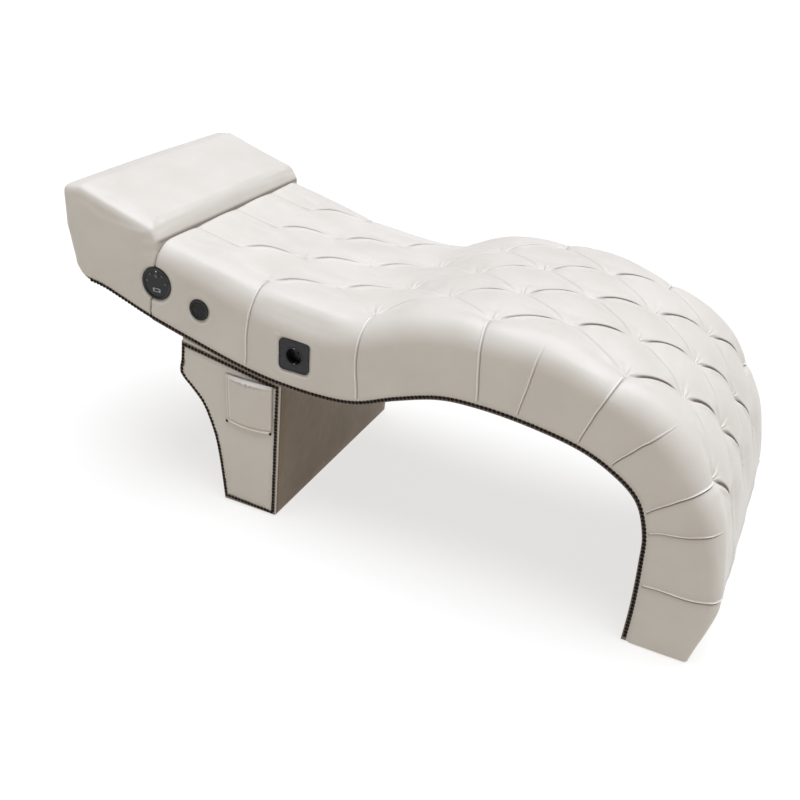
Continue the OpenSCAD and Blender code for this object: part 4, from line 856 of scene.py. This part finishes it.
def rounded_path(points, radii, step=3.0):
    """A closed outline with each corner rounded, resampled at even steps."""
    points = np.asarray(points, float)
    out = []
    for i, r in enumerate(radii):
        a, b, c = points[i - 1], points[i], points[(i + 1) % len(points)]
        if r <= 0:
            out.append(b)
            continue
        back, on = np.linalg.norm(a - b), np.linalg.norm(c - b)
        u, w = (a - b) / back, (c - b) / on
        half = acos(np.clip(u @ w, -1, 1)) / 2
        reach = min(r / tan(half), 0.48 * back, 0.48 * on)
        for k in np.linspace(0, 1, 9):
            inner = (1 - k) ** 2 * (b + reach * u) + 2 * k * (1 - k) * b
            out.append(inner + k**2 * (b + reach * w))
    out = np.array(out + [out[0]])
    length = run_of(out)
    at = np.linspace(0, length[-1], int(length[-1] / step) + 1)[:-1]
    return np.stack([np.interp(at, length, out[:, 0]), np.interp(at, length, out[:, 1])], -1)


def outward(points):
    """Outward normals of a closed outline."""
    way = unit(np.roll(points, -1, axis=0) - np.roll(points, 1, axis=0))
    normal = np.stack([-way[:, 1], way[:, 0]], -1)
    x, z = points.T
    return normal if np.sum(x * np.roll(z, -1) - np.roll(x, -1) * z) < 0 else -normal


CLOTH_FRAMES = 20
CLOTH_SETTINGS = dict(
    quality=6, mass=0.3, tension_stiffness=25, compression_stiffness=12, shear_stiffness=10,
    bending_stiffness=2, use_pressure=True, uniform_pressure_force=4.0, vertex_group_mass="held",
)


def swell(obj, held, cap):
    """The piece swells as cloth over 20 frames, held where held is 1, and moves at most cap mm."""
    copy = add_object("cloth_copy", obj.data.copy())
    group = copy.vertex_groups.new(name="held")
    for weight in (0.25, 0.5, 0.75, 1.0):
        chosen = np.nonzero(np.round(held * 4) / 4 == weight)[0]
        group.add(chosen.tolist(), weight, "REPLACE")
    mod = copy.modifiers.new("cloth", "CLOTH")
    for key, value in CLOTH_SETTINGS.items():
        setattr(mod.settings, key, value)
    mod.settings.effector_weights.gravity = 0
    mod.collision_settings.use_collision = False
    before = points_of(copy.data)
    for frame_number in range(1, CLOTH_FRAMES + 1):
        bpy.context.scene.frame_set(frame_number)
    seen = copy.evaluated_get(bpy.context.evaluated_depsgraph_get())
    moved = points_of(seen.to_mesh()) - before
    seen.to_mesh_clear()
    far = np.linalg.norm(moved, axis=1, keepdims=True) / MM
    moved *= np.minimum(1, cap / np.maximum(far, 1e-6))
    bpy.data.objects.remove(copy)
    bpy.context.scene.frame_set(1)
    set_points(obj.data, before + np.nan_to_num(moved))


body = make_body()
cut_round(body, CONTROL_AT, CONTROL_BODY)
cut_round(body, SPEAKER_AT, SPEAKER_BODY)
cut_round(body, SOCKET_AT, BOX_R)
soft_piece(body, LEATHER, 0.9, "mattress", "side_cover_near", "side_cover_far")


# The head: headrest, side walls and end wall under one leather
HEAD_END = [(-0.4985, 0.851), (-0.496, 0.832), (-0.491, 0.771), (-0.486, 0.723), (-0.476, 0.700)]
HEAD_TOP = [(-0.4990, 0.992), (-0.466, 1.002), (-0.345, 0.920), (-0.3337, 0.869), (-0.3382, 0.808)]
HEAD_TOP_R, HEAD_END_R = [20.0, 6.0, 16.0, 0.0, 0.0], 3.0
HEAD_EDGE_R, HEAD_CROWN, CROWN_FROM, END_ROW = 18.0, 5.0, 660.0, 0.08
HEAD_SEAM = JOINT_ROW - 0.01
HEAD_JOIN = crown_line(np.array(float(JOINT_ROW)))
HEAD_VOXEL, HEAD_CAP = 5.5, 2.0
# The seam between the head and the body on the sides: heights, and x at them
HEAD_SEAM_LINE = ((467.0, 620.5, 668.0, 800.0), (-598.3, -573.0, -565.0, -540.0))
LOW_SEAM_TOP = 620.5
# The nails begin this far from the head's end
FIRST_NAIL_X = -790.0
# The headrest's front edge, which is not quite straight
FRONT_EDGE_X = -585.0


def head_outline():
    bottom = [tuple(p) for p in under(np.linspace(HEAD_SEAM, END_ROW, 40))]
    end = [tuple(place(*p)) for p in reversed(HEAD_END)]
    top = [tuple(place(*p)) for p in HEAD_TOP]
    radii = [0] * len(bottom) + [HEAD_END_R] * len(end) + HEAD_TOP_R
    return rounded_path(bottom + end + top, radii)


def hollow_head(obj):
    """Cuts away what lies below the deck and inside the end wall."""
    rows = np.linspace(0.12, 3.3, 30)
    roof = deck_line(rows) + FIT_GAP * across(rows)
    end = np.array([place(*p) for p in HEAD_END])
    wall = [(x + SIDE_T, z) for x, z in end[:-1] if z < roof[0][1] - 4]
    x, z = end[-1]
    foot = [(x + SIDE_T, z + 3.0), (x + 4 * SIDE_T, z - 60.0)]
    low = under(rows[-1:])[0] - np.array([0.0, 40.0])
    outline = np.array([tuple(p) for p in roof[::-1]] + wall + foot + [tuple(low)])
    half = HALF_W - SIDE_T
    cut(obj, tube("cutter", [xyz(outline[:, 0], y, outline[:, 1]) for y in (-half, half)]))


def make_head():
    line = head_outline()
    x, z = line.T
    away = outward(line)
    level = z - np.interp(x, *under(np.linspace(0, LAST_ROW, 200)).T)
    # How much a place on the outline takes part in the rounding of the long edges
    seam_x = deck_line(np.array(float(JOINT_ROW)))[0]
    share = ease((level - 6.0) / 30.0)
    share *= np.where((z < 640.0) & (x > seam_x - 40.0), 0.25, 1.0)
    high = ease((z - CROWN_FROM) / 40.0)
    inner = HALF_W - HEAD_EDGE_R
    columns = [
        (-(HALF_W - HEAD_EDGE_R * (1 - sin(a))), HEAD_EDGE_R * (1 - cos(a)))
        for a in np.linspace(pi / 2, 0, 8)
    ]
    far_edge = [(-y, d) for y, d in reversed(columns)]
    columns += [(y, 0.0) for y in np.linspace(-inner, inner, 40)[1:-1]] + far_edge
    rings = []
    for y, inset in columns:
        crown = HEAD_CROWN * (1 - (y / HALF_W) ** 2) * high
        at = line - away * (inset * share)[:, None]
        rings.append(xyz(at[:, 0], y, at[:, 1] + crown - HEAD_CROWN * high))
    obj = tube("head_leather", rings)
    hollow_head(obj)
    modify(obj, "REMESH", mode="VOXEL", voxel_size=HEAD_VOXEL * MM)
    modify(obj, "SMOOTH", iterations=4)
    return obj


def over_deck(x, z, rise):
    return z > np.interp(x, *deck_line(np.linspace(0, 4, 60)).T) + rise


def head_held(co):
    """How firmly the points of the head are held while it swells, from 0 to 1."""
    x, y, z = co.T
    face = np.abs(np.abs(y) - HALF_W) < 4.0
    end = x < place(-0.486, 0)[0] + 6.0
    free = (face | over_deck(x, z, 6.0) | end) & (z - bottom_height(x) > 22.0)
    from_seam = np.clip((np.interp(z, *HEAD_SEAM_LINE) - x) / 22.0, 0, 1)
    held = 1.0 - free * np.where(z > 690.0, 1.0, from_seam)
    return np.maximum(held, (fitting_distance(x, z) < 14.0) & (y < -300.0))


def finish_head(obj):
    """Swells the leather, then adds what is finer than the cloth: seam, band, wrinkles."""
    swell(obj, head_held(points_of(obj.data) / MM), HEAD_CAP)
    modify(obj, "SMOOTH", iterations=3)
    modify(obj, "SUBSURF", levels=1, render_levels=1)
    co, normal = points_of(obj.data) / MM, points_of(obj.data, "normal")
    x, y, z = co.T
    above = z - bottom_height(x)
    side = np.abs(normal[:, 1]) ** 2
    outer = np.abs(y) > HALF_W - 8.0
    top = over_deck(x, z, 10.0)
    end = x < place(-0.476, 0)[0]
    skin = ((outer | top | end) * 1.0) * ease((above + 2.0) / 12.0)
    h = skin * 0.8 * slow_noise(x / 60.0 + y / 90.0, z / 60.0 - y / 130.0, 11)
    h += skin * 0.25 * slow_noise(x / 19.0 + y / 31.0, z / 19.0, 12, 2)
    # Edges of the head swell a little less straight than a machine would make them
    uneven = np.sin(y / 37.0 + 1.2 * np.sin(y / 90.0))
    h += skin * top * 0.7 * uneven * bump_at(x, FRONT_EDGE_X, 26.0)
    seam = np.abs(x - np.interp(np.minimum(z, LOW_SEAM_TOP), *HEAD_SEAM_LINE))
    by_seam = outer * (z < LOW_SEAM_TOP + 1.5)
    h -= by_seam * 2.4 * bump_at(seam, 0, 2.6)
    h += by_seam * 0.7 * bump_at(seam, 8.0, 5.0)
    nailed = x > FIRST_NAIL_X
    band = outer * ease((NAIL_BAND + NAIL_FADE - above) / NAIL_FADE) * nailed
    h = h * (1 - band) - NAIL_SINK * band * side
    h -= (y < -HALF_W + 8.0) * side * fitting_dip(x, z) * (normal[:, 1] < 0)
    set_points(obj.data, (co + normal * h[:, None]) * MM)
    # Painted shade under and between the nails
    shade = NAIL_PAINTED_SHADE * outer * (side > 0.5) * (above < NAIL_SHADE_H + 0.2) * nailed
    # Painted shade along the seam to the body and where the headrest meets the body's top
    shade = np.maximum(shade, 0.3 * by_seam * bump_at(seam, 0, 1.6) * (above > 12.0))
    join = np.hypot(x - HEAD_JOIN[0], z - HEAD_JOIN[1])
    paint(obj, np.maximum(shade, 0.8 * bump_at(join, 0, 5.0)))


head = make_head()
finish_head(head)
cut_round(head, CONTROL_AT, CONTROL_BODY)
soft_piece(head, LEATHER, 0.85, "headrest", "head_band")


# The pedestal: padded sides, leather on its front, back and top, and the pocket
PED_X0, PED_X1 = place(-0.3022, 0)[0], place(-0.1370, 0)[0]
PED_L = PED_X1 - PED_X0
PED_Z0, PED_Z1 = place(0, 0.556)[1], place(0, 0.496)[1]
PED_FOOT_BACK, PED_HALF, PED_COVER_T, PED_RISE = 10.0, 327.0, 10.0, 3.0
PED_SKIN_HALF, PED_WEDGE_HALF, UNDER_HALF, SKIN_T = 316.7, 324.0, 317.6, 2.0
PED_BACK = np.array([
    [0.000, 1.000], [-0.010, 0.890], [-0.026, 0.790], [0.085, 0.712], [0.198, 0.632],
    [0.270, 0.534], [0.325, 0.430], [0.362, 0.312], [0.392, 0.172], [0.424, 0.000],
])


def ped_back(v):
    """The pedestal's curved back edge, from the floor to its top as v goes from 0 to 1."""
    s = curve(PED_BACK, (1 - v) * (len(PED_BACK) - 1))
    return np.stack([PED_X0 + s[..., 0] * PED_L, GLIDE_H + s[..., 1] * (PED_Z0 - GLIDE_H)], -1)


def ped_front(v):
    return np.stack([PED_X1 - PED_FOOT_BACK * (1 - v), GLIDE_H + v * (PED_Z1 - GLIDE_H)], -1)


def unit_grid(rows, cols):
    return np.meshgrid(np.linspace(0, 1, cols), np.linspace(0, 1, rows))


def shell(name, outer, inner):
    """A closed piece between two matching grids of points."""
    rows, cols = outer.shape[:2]
    half = rows * cols
    faces = grid_faces(rows, cols) + [f[::-1] for f in grid_faces(rows, cols, half)]
    rim = [(r, 0) for r in range(rows)] + [(rows - 1, c) for c in range(1, cols)]
    rim += [(r, cols - 1) for r in range(rows - 2, -1, -1)]
    rim += [(0, c) for c in range(cols - 2, 0, -1)]
    index = [r * cols + c for r, c in rim]
    faces += [(a, b, b + half, a + half) for a, b in zip(index, index[1:] + index[:1])]
    return solid_piece(name, np.concatenate([outer.reshape(-1, 3), inner.reshape(-1, 3)]), faces)


def make_ped_cover(way):
    u, v = unit_grid(150, 100)
    a, b = ped_back(v), ped_front(v)
    xz = a + (b - a) * u[..., None]
    x, z = xz[..., 0], xz[..., 1]
    width = np.linalg.norm(b - a, axis=-1)
    slope = np.abs(np.gradient(a[..., 0], axis=0) / (np.gradient(a[..., 1], axis=0) + 1e-6))
    lean = 1 / np.sqrt(1 + np.clip(slope, 0, 2) ** 2)
    d = np.minimum(np.minimum(u * width * lean, (1 - u) * width), np.minimum(v, 1 - v) * PED_Z1)
    puff = PED_RISE * ease((d - NAIL_BAND) / 9.0) - 2.2 * np.clip(1 - d / 3.0, 0, 1) ** 2
    puff += 1.4 * ease((d - 18) / 60.0)
    puff += 0.9 * ease((d - 10) / 14.0) * slow_noise(x / 48.0, z / 48.0, 21 + way)
    # Leather drawn towards the nails in short puckers
    around = x * 0.6 + z
    puff += 0.35 * bump_at(d, 15.0, 7.0) * np.sin(around / 4.3 + 2.0 * np.sin(around / 31.0))
    obj = shell(
        "pedestal_side_near" if way < 0 else "pedestal_side_far",
        xyz(x, way * (PED_HALF - PED_RISE + puff), z),
        xyz(x, way * (PED_HALF - PED_COVER_T), z),
    )
    # Painted shade under and between the nails
    paint(obj, NAIL_PAINTED_SHADE * (d > 0.8) * (d < NAIL_SHADE_H + 0.4))
    return obj


def strip(name, outer_line, inner_line, half_y, bulge, seed):
    """A skin across the bed between two lines, with slack folds on its outer face."""
    y = np.linspace(-half_y, half_y, 96)
    away = unit(outer_line - inner_line)
    run = run_of(outer_line)[:, None]
    fade = ease(np.minimum(run, run[-1] - run) / 25.0) * ease((half_y - np.abs(y)) / 25.0)
    h = bulge * fade * (0.8 + 0.7 * slow_noise(run / 70.0, y[None, :] / 70.0, seed))
    h += 0.25 * fade * slow_noise(run / 17.0, y[None, :] / 23.0, seed + 1, 2)
    out = outer_line[:, None, :] + away[:, None, :] * h[..., None]
    return shell(
        name, xyz(out[..., 0], y, out[..., 1]), xyz(inner_line[:, :1], y, inner_line[:, 1:])
    )


def up_to_bed(line, share, steps):
    """Carries a line of the pedestal on, straight up to the bed's bottom edge."""
    top = np.array([[line[-1, 0], bottom_height(line[-1, 0]) - FIT_GAP]])
    return np.concatenate([line, top + (line[-1:] - top) * np.linspace(share, 0, steps)[:, None]])


def make_ped_front():
    front = up_to_bed(ped_front(np.linspace(0, 1, 60)), 0.6, 3)
    behind = front - np.array([SKIN_T, 0])
    return strip("pedestal_front_leather", front, behind, PED_SKIN_HALF, 1.4, 31)


def make_ped_back():
    back = up_to_bed(ped_back(np.linspace(0, 1, 60)), 0.8, 6)
    way = unit(np.gradient(back, axis=0))
    behind = back + SKIN_T * np.stack([way[:, 1], -way[:, 0]], -1)
    return strip("pedestal_back_leather", back, behind, PED_SKIN_HALF, 1.0, 35)


def make_wedge():
    """The leather-covered wedge between the pedestal and the bed."""
    x = np.linspace(PED_X0 + 6.0, PED_X1 - 6.0, 60)
    low = np.stack([x, PED_Z0 + (PED_Z1 - PED_Z0) * (x - PED_X0) / PED_L + 0.2], -1)
    high = np.stack([x, bottom_height(x) - 0.2], -1)
    cols, steps, m = 80, 8, len(x)
    rings = []
    for y in np.linspace(-PED_WEDGE_HALF, PED_WEDGE_HALF, cols):
        rolled = np.array([0.0, 1.6 * exp(-((PED_WEDGE_HALF - abs(y)) / 2.5))])
        lo, hi = low + rolled, high - rolled
        loop = [lo, *[lo[-1:] + (hi[-1:] - lo[-1:]) * k / steps for k in range(1, steps)]]
        loop += [hi[::-1], *[hi[:1] + (lo[:1] - hi[:1]) * k / steps for k in range(1, steps)]]
        ring = np.concatenate(loop)
        rings.append(xyz(ring[:, 0], y, ring[:, 1]))
    n = len(rings[0])
    faces = grid_faces(cols, n, closed=True)
    for at in (0, (cols - 1) * n):
        upper = at + n - steps
        faces += [(at + i, at + i + 1, upper - i - 1, upper - i) for i in range(m - 1)]
        faces.append(tuple(range(at + m - 1, at + m + steps)))
        faces.append((*range(upper, at + n), at))
    return solid_piece("pedestal_top_leather", np.concatenate(rings), faces)


def make_underside():
    t = np.linspace(0.26, LAST_ROW, 260)
    inner, outer = under(t) + SKIN_T * across(t), under(t) + 0.1 * across(t)
    return strip("under_leather", outer, inner, UNDER_HALF, 1.1, 41)


# Pocket: width, height, stand-off, skin, sag, and its lower left corner
POCKET_W, POCKET_H, POCKET_BULGE, POCKET_SKIN, POCKET_SAG = 133.0, 132.0, 12.0, 2.2, 6.0
POCKET_X0 = PED_X1 - 16.0 - POCKET_W
POCKET_Z0 = PED_Z1 - 5.0 - POCKET_H
# The gathers under the elastic hem: their height as a share, and their number
GATHERS_AT, GATHERS = 0.90, 8.5


def pocket_stand(u, v, arch, near_mouth, gathers):
    """How far the pocket stands off the pedestal, from its left, u, and its bottom, v."""
    stand = POCKET_BULGE * arch**0.55 * (0.08 + 0.92 * v**0.5)
    stand += 1.7 * bump_at(v, GATHERS_AT, 0.045) * gathers
    stand -= 1.6 * bump_at(v, 0.925, 0.018) * arch
    stand += 0.9 * bump_at(v, 0.97, 0.03) * arch
    # Folds that hang from the gathers, and slack in the middle
    stand += 0.8 * ease((v - 0.45) / 0.5) * (1 - near_mouth) * wave_of(u, 4.2, 0.8) * arch
    stand += 0.9 * arch * slow_noise(u * 2.4, v * 2.4, 51)
    # The hem lies back against the pedestal
    stand *= 1 - 0.7 * ease((v - 0.93) / 0.07)
    # Turned and stitched edges: a double ridge on the left, single ones below and on the right
    stand += 1.5 * bump_at(u, 0.028, 0.012)
    stand += 1.1 * bump_at(u, 0.088, 0.012) * (1 - 0.6 * v)
    for height, along, at, width in (
        (1.4, u, 0.975, 0.014), (1.6, v, 0.03, 0.018), (-0.8, v, 0.075, 0.02)
    ):
        stand += height * bump_at(along, at, width)
    edge = np.minimum(np.minimum(u, 1 - u) * POCKET_W, v * POCKET_H)
    return np.maximum(stand, 0.0) * ease((edge + 2.5) / 5.0)


def strongest(*marks):
    """The largest of some marks, each with a share, a place, a half width and where it shows."""
    return np.maximum.reduce(
        [share * where * bump_at(along, at, width) for share, along, at, width, where in marks]
    )


def paint_pocket(obj, u, v, arch, near_mouth, gathers):
    """Painted shade along the pocket's edges and between its gathers, painted highlights on its
    ridges.
    """
    paint(obj, strongest(
        (0.55, u, 0.0, 0.012, 1),
        (0.3, u, 0.058, 0.012, 1),
        (0.5, u, 1.0, 0.012, 1),
        (0.6, v, 0.0, 0.012, 1),
        (0.35, v, 0.072, 0.014, 1),
        (0.55, v, GATHERS_AT, 0.05, near_mouth * np.clip(-gathers, 0, 1)),
        (0.4, v, 0.915, 0.014, arch),
    ))
    light = strongest(
        (0.35, u, 0.028, 0.012, 1),
        (0.3, u, 0.088, 0.012, 1),
        (0.6, v, 0.032, 0.014, 1),
        (0.16, v, GATHERS_AT, 0.05, near_mouth * np.clip(gathers, 0, 1)),
        (0.25, v, 0.965, 0.02, arch),
    )
    paint(obj, light, "stretch")


def make_pocket():
    u, v = unit_grid(90, 150)
    arch = np.clip(np.sin(pi * u), 0, 1)
    near_mouth = ease((v - 0.80) / 0.16)
    # The elastic hem gathers the mouth unevenly
    gathers = np.sin(2 * pi * (GATHERS * u + 0.35 * wave_of(u, 1.7))) * arch
    gathers = gathers * (0.55 + 0.45 * wave_of(u, 2.3, 1.0))
    stand = pocket_stand(u, v, arch, near_mouth, gathers)
    left, right = np.clip(1 - u / 0.12, 0, 1) ** 2, np.clip(1 - (1 - u) / 0.12, 0, 1) ** 2
    corner = 5.0 * (np.clip(1 - v / 0.14, 0, 1) ** 2 * (left + right))
    x = POCKET_X0 + u * POCKET_W + 3.0 * (0.5 - u) * (1 - v) + corner * np.sign(0.5 - u)
    z = POCKET_Z0 + v * POCKET_H - POCKET_SAG * arch * (1 - v) + corner
    z = z + 1.2 * bump_at(v, 0.89, 0.05) * np.cos(2 * pi * GATHERS * u) * arch
    base = PED_HALF + FIT_GAP
    outer, inner = xyz(x, -(base + POCKET_SKIN + stand), z), xyz(x, -(base + stand * 0.98 + 0.6), z)
    obj = shell("pocket_leather", outer, inner)
    paint_pocket(obj, u, v, arch, near_mouth, gathers)
    return obj


soft_piece(make_ped_cover(-1), LEATHER, 0.6, "pedestal_cover_near")
soft_piece(make_ped_cover(1), LEATHER, 0.6, "pedestal_cover_far")
# The front, the back and the underside take the darker leather, darkened further as painted shade
# under the bed
soft_piece(make_ped_front(), SHADED_DARK_LEATHER, 0.5, "pedestal_leather")
soft_piece(make_ped_back(), SHADED_DARK_LEATHER, 0.5)
soft_piece(make_wedge(), LEATHER, 0.5, "pedestal_top_plate")
soft_piece(make_underside(), SHADED_DARK_LEATHER, 0.4, "underside_cover")
soft_piece(make_pocket(), LEATHER, 0.3, "pocket")


# CAD nodes that show, and the material of each
NODE_MATERIALS = {
    PLYWOOD: "side_panel_near side_panel_far deck headrest_deck underside_panel head_board "
    "pedestal_panel_near pedestal_panel_far pedestal_front_board pedestal_back_board pedestal_base",
    SOFTWOOD: "cross_rails foot_sole",
    NAIL: "nail_trim_near nail_trim_far pedestal_nails_near pedestal_nails_far pocket_tacks",
    GLIDE: "foot_glides pedestal_glides cable_gland socket_screw",
    FACE: "control_face",
    GLOSS: "control_housing socket_insert",
    RIM: "control_bezel control_clamp_ring",
    KEY: "power_button previous_key next_key volume_down_key volume_up_key",
    BRIGHT: "usb_port status_lens",
    BLACK: "speaker_frame speaker_grille speaker_cone socket_shutter socket_box power_supply",
    CHARCOAL: "socket_plate",
    STEEL: "pedestal_bolts tee_nuts speaker_magnet shutter_spring earth_clips",
    BRASS: "socket_contacts",
    CIRCUIT: "control_board",
}
SMOOTH_ANGLE = radians(32)
for mat, names in NODE_MATERIALS.items():
    for node in (nodes[name] for name in names.split()):
        dress(node, mat)
        node.data.shade_smooth()
        node.data.set_sharp_from_angle(angle=SMOOTH_ANGLE)


# The stage: the floor in metres, its glow, the overhead light and the air's two greys
FLOOR_HALF, FLOOR_CORNERS = 120.0, ((-1, -1), (1, -1), (1, 1), (-1, 1))
FLOOR_LOW, FLOOR_HIGH = (0.218, 0.204, 0.183), (0.224, 0.210, 0.189)
GLOW_COLOR, GLOW_STRENGTH = (1.0, 0.995, 0.985, 1), 0.73
SUN_TOWARDS, SUN_SPREAD, SUN_POWER = (0.10, 0.03, 1.0), radians(54.0), 5.1
SUN_COLOR = (0.92, 1.0, 1.16)
AIR_STOPS = ((0.03, 0.90), (0.22, 0.12))


def make_floor():
    """A pale floor that glows a little, as a light table does, so that shadows stay soft."""
    mesh = bpy.data.meshes.new("floor")
    corners = [(x * FLOOR_HALF, y * FLOOR_HALF, 0) for x, y in FLOOR_CORNERS]
    mesh.from_pydata(corners, [], [(0, 1, 2, 3)])
    table = add_object("floor", mesh)
    s = Shader("light table", (0.22, 0.205, 0.185), Roughness=0.8, Specular_IOR_Level=0.1)
    s.to("Base Color", s.colors(s.noise(2.0), (0.3, FLOOR_LOW), (0.7, FLOOR_HIGH)))
    s.bsdf.inputs["Emission Color"].default_value = GLOW_COLOR
    s.bsdf.inputs["Emission Strength"].default_value = GLOW_STRENGTH
    dress(table, s.mat)


def make_overhead():
    """A soft light from far above, even over the whole floor."""
    data = bpy.data.lights.new("overhead", "SUN")
    data.angle, data.energy, data.color = SUN_SPREAD, SUN_POWER, SUN_COLOR
    obj = add_object("overhead", data)
    obj.rotation_euler = Vector(SUN_TOWARDS).to_track_quat("Z", "Y").to_euler()


def make_world():
    """Studio air: bright round the horizon and dim above, so that it lights the sides evenly."""
    world = bpy.data.worlds.new("studio")
    bpy.context.scene.world = world
    world.use_nodes = True
    tree = world.node_tree
    coords = tree.nodes.new("ShaderNodeTexCoord")
    split = tree.nodes.new("ShaderNodeSeparateXYZ")
    ramp = tree.nodes.new("ShaderNodeValToRGB")
    tree.links.new(coords.outputs["Generated"], split.inputs["Vector"])
    tree.links.new(split.outputs["Z"], ramp.inputs["Fac"])
    tree.links.new(ramp.outputs["Color"], tree.nodes["Background"].inputs["Color"])
    for element, (at, shade) in zip(ramp.color_ramp.elements, AIR_STOPS):
        element.position = at
        element.color = (shade, shade, shade, 1)


make_floor()
make_overhead()
make_world()
view = bpy.context.scene.view_settings
view.view_transform = "Standard"
view.look = "None"
view.exposure = 0.0
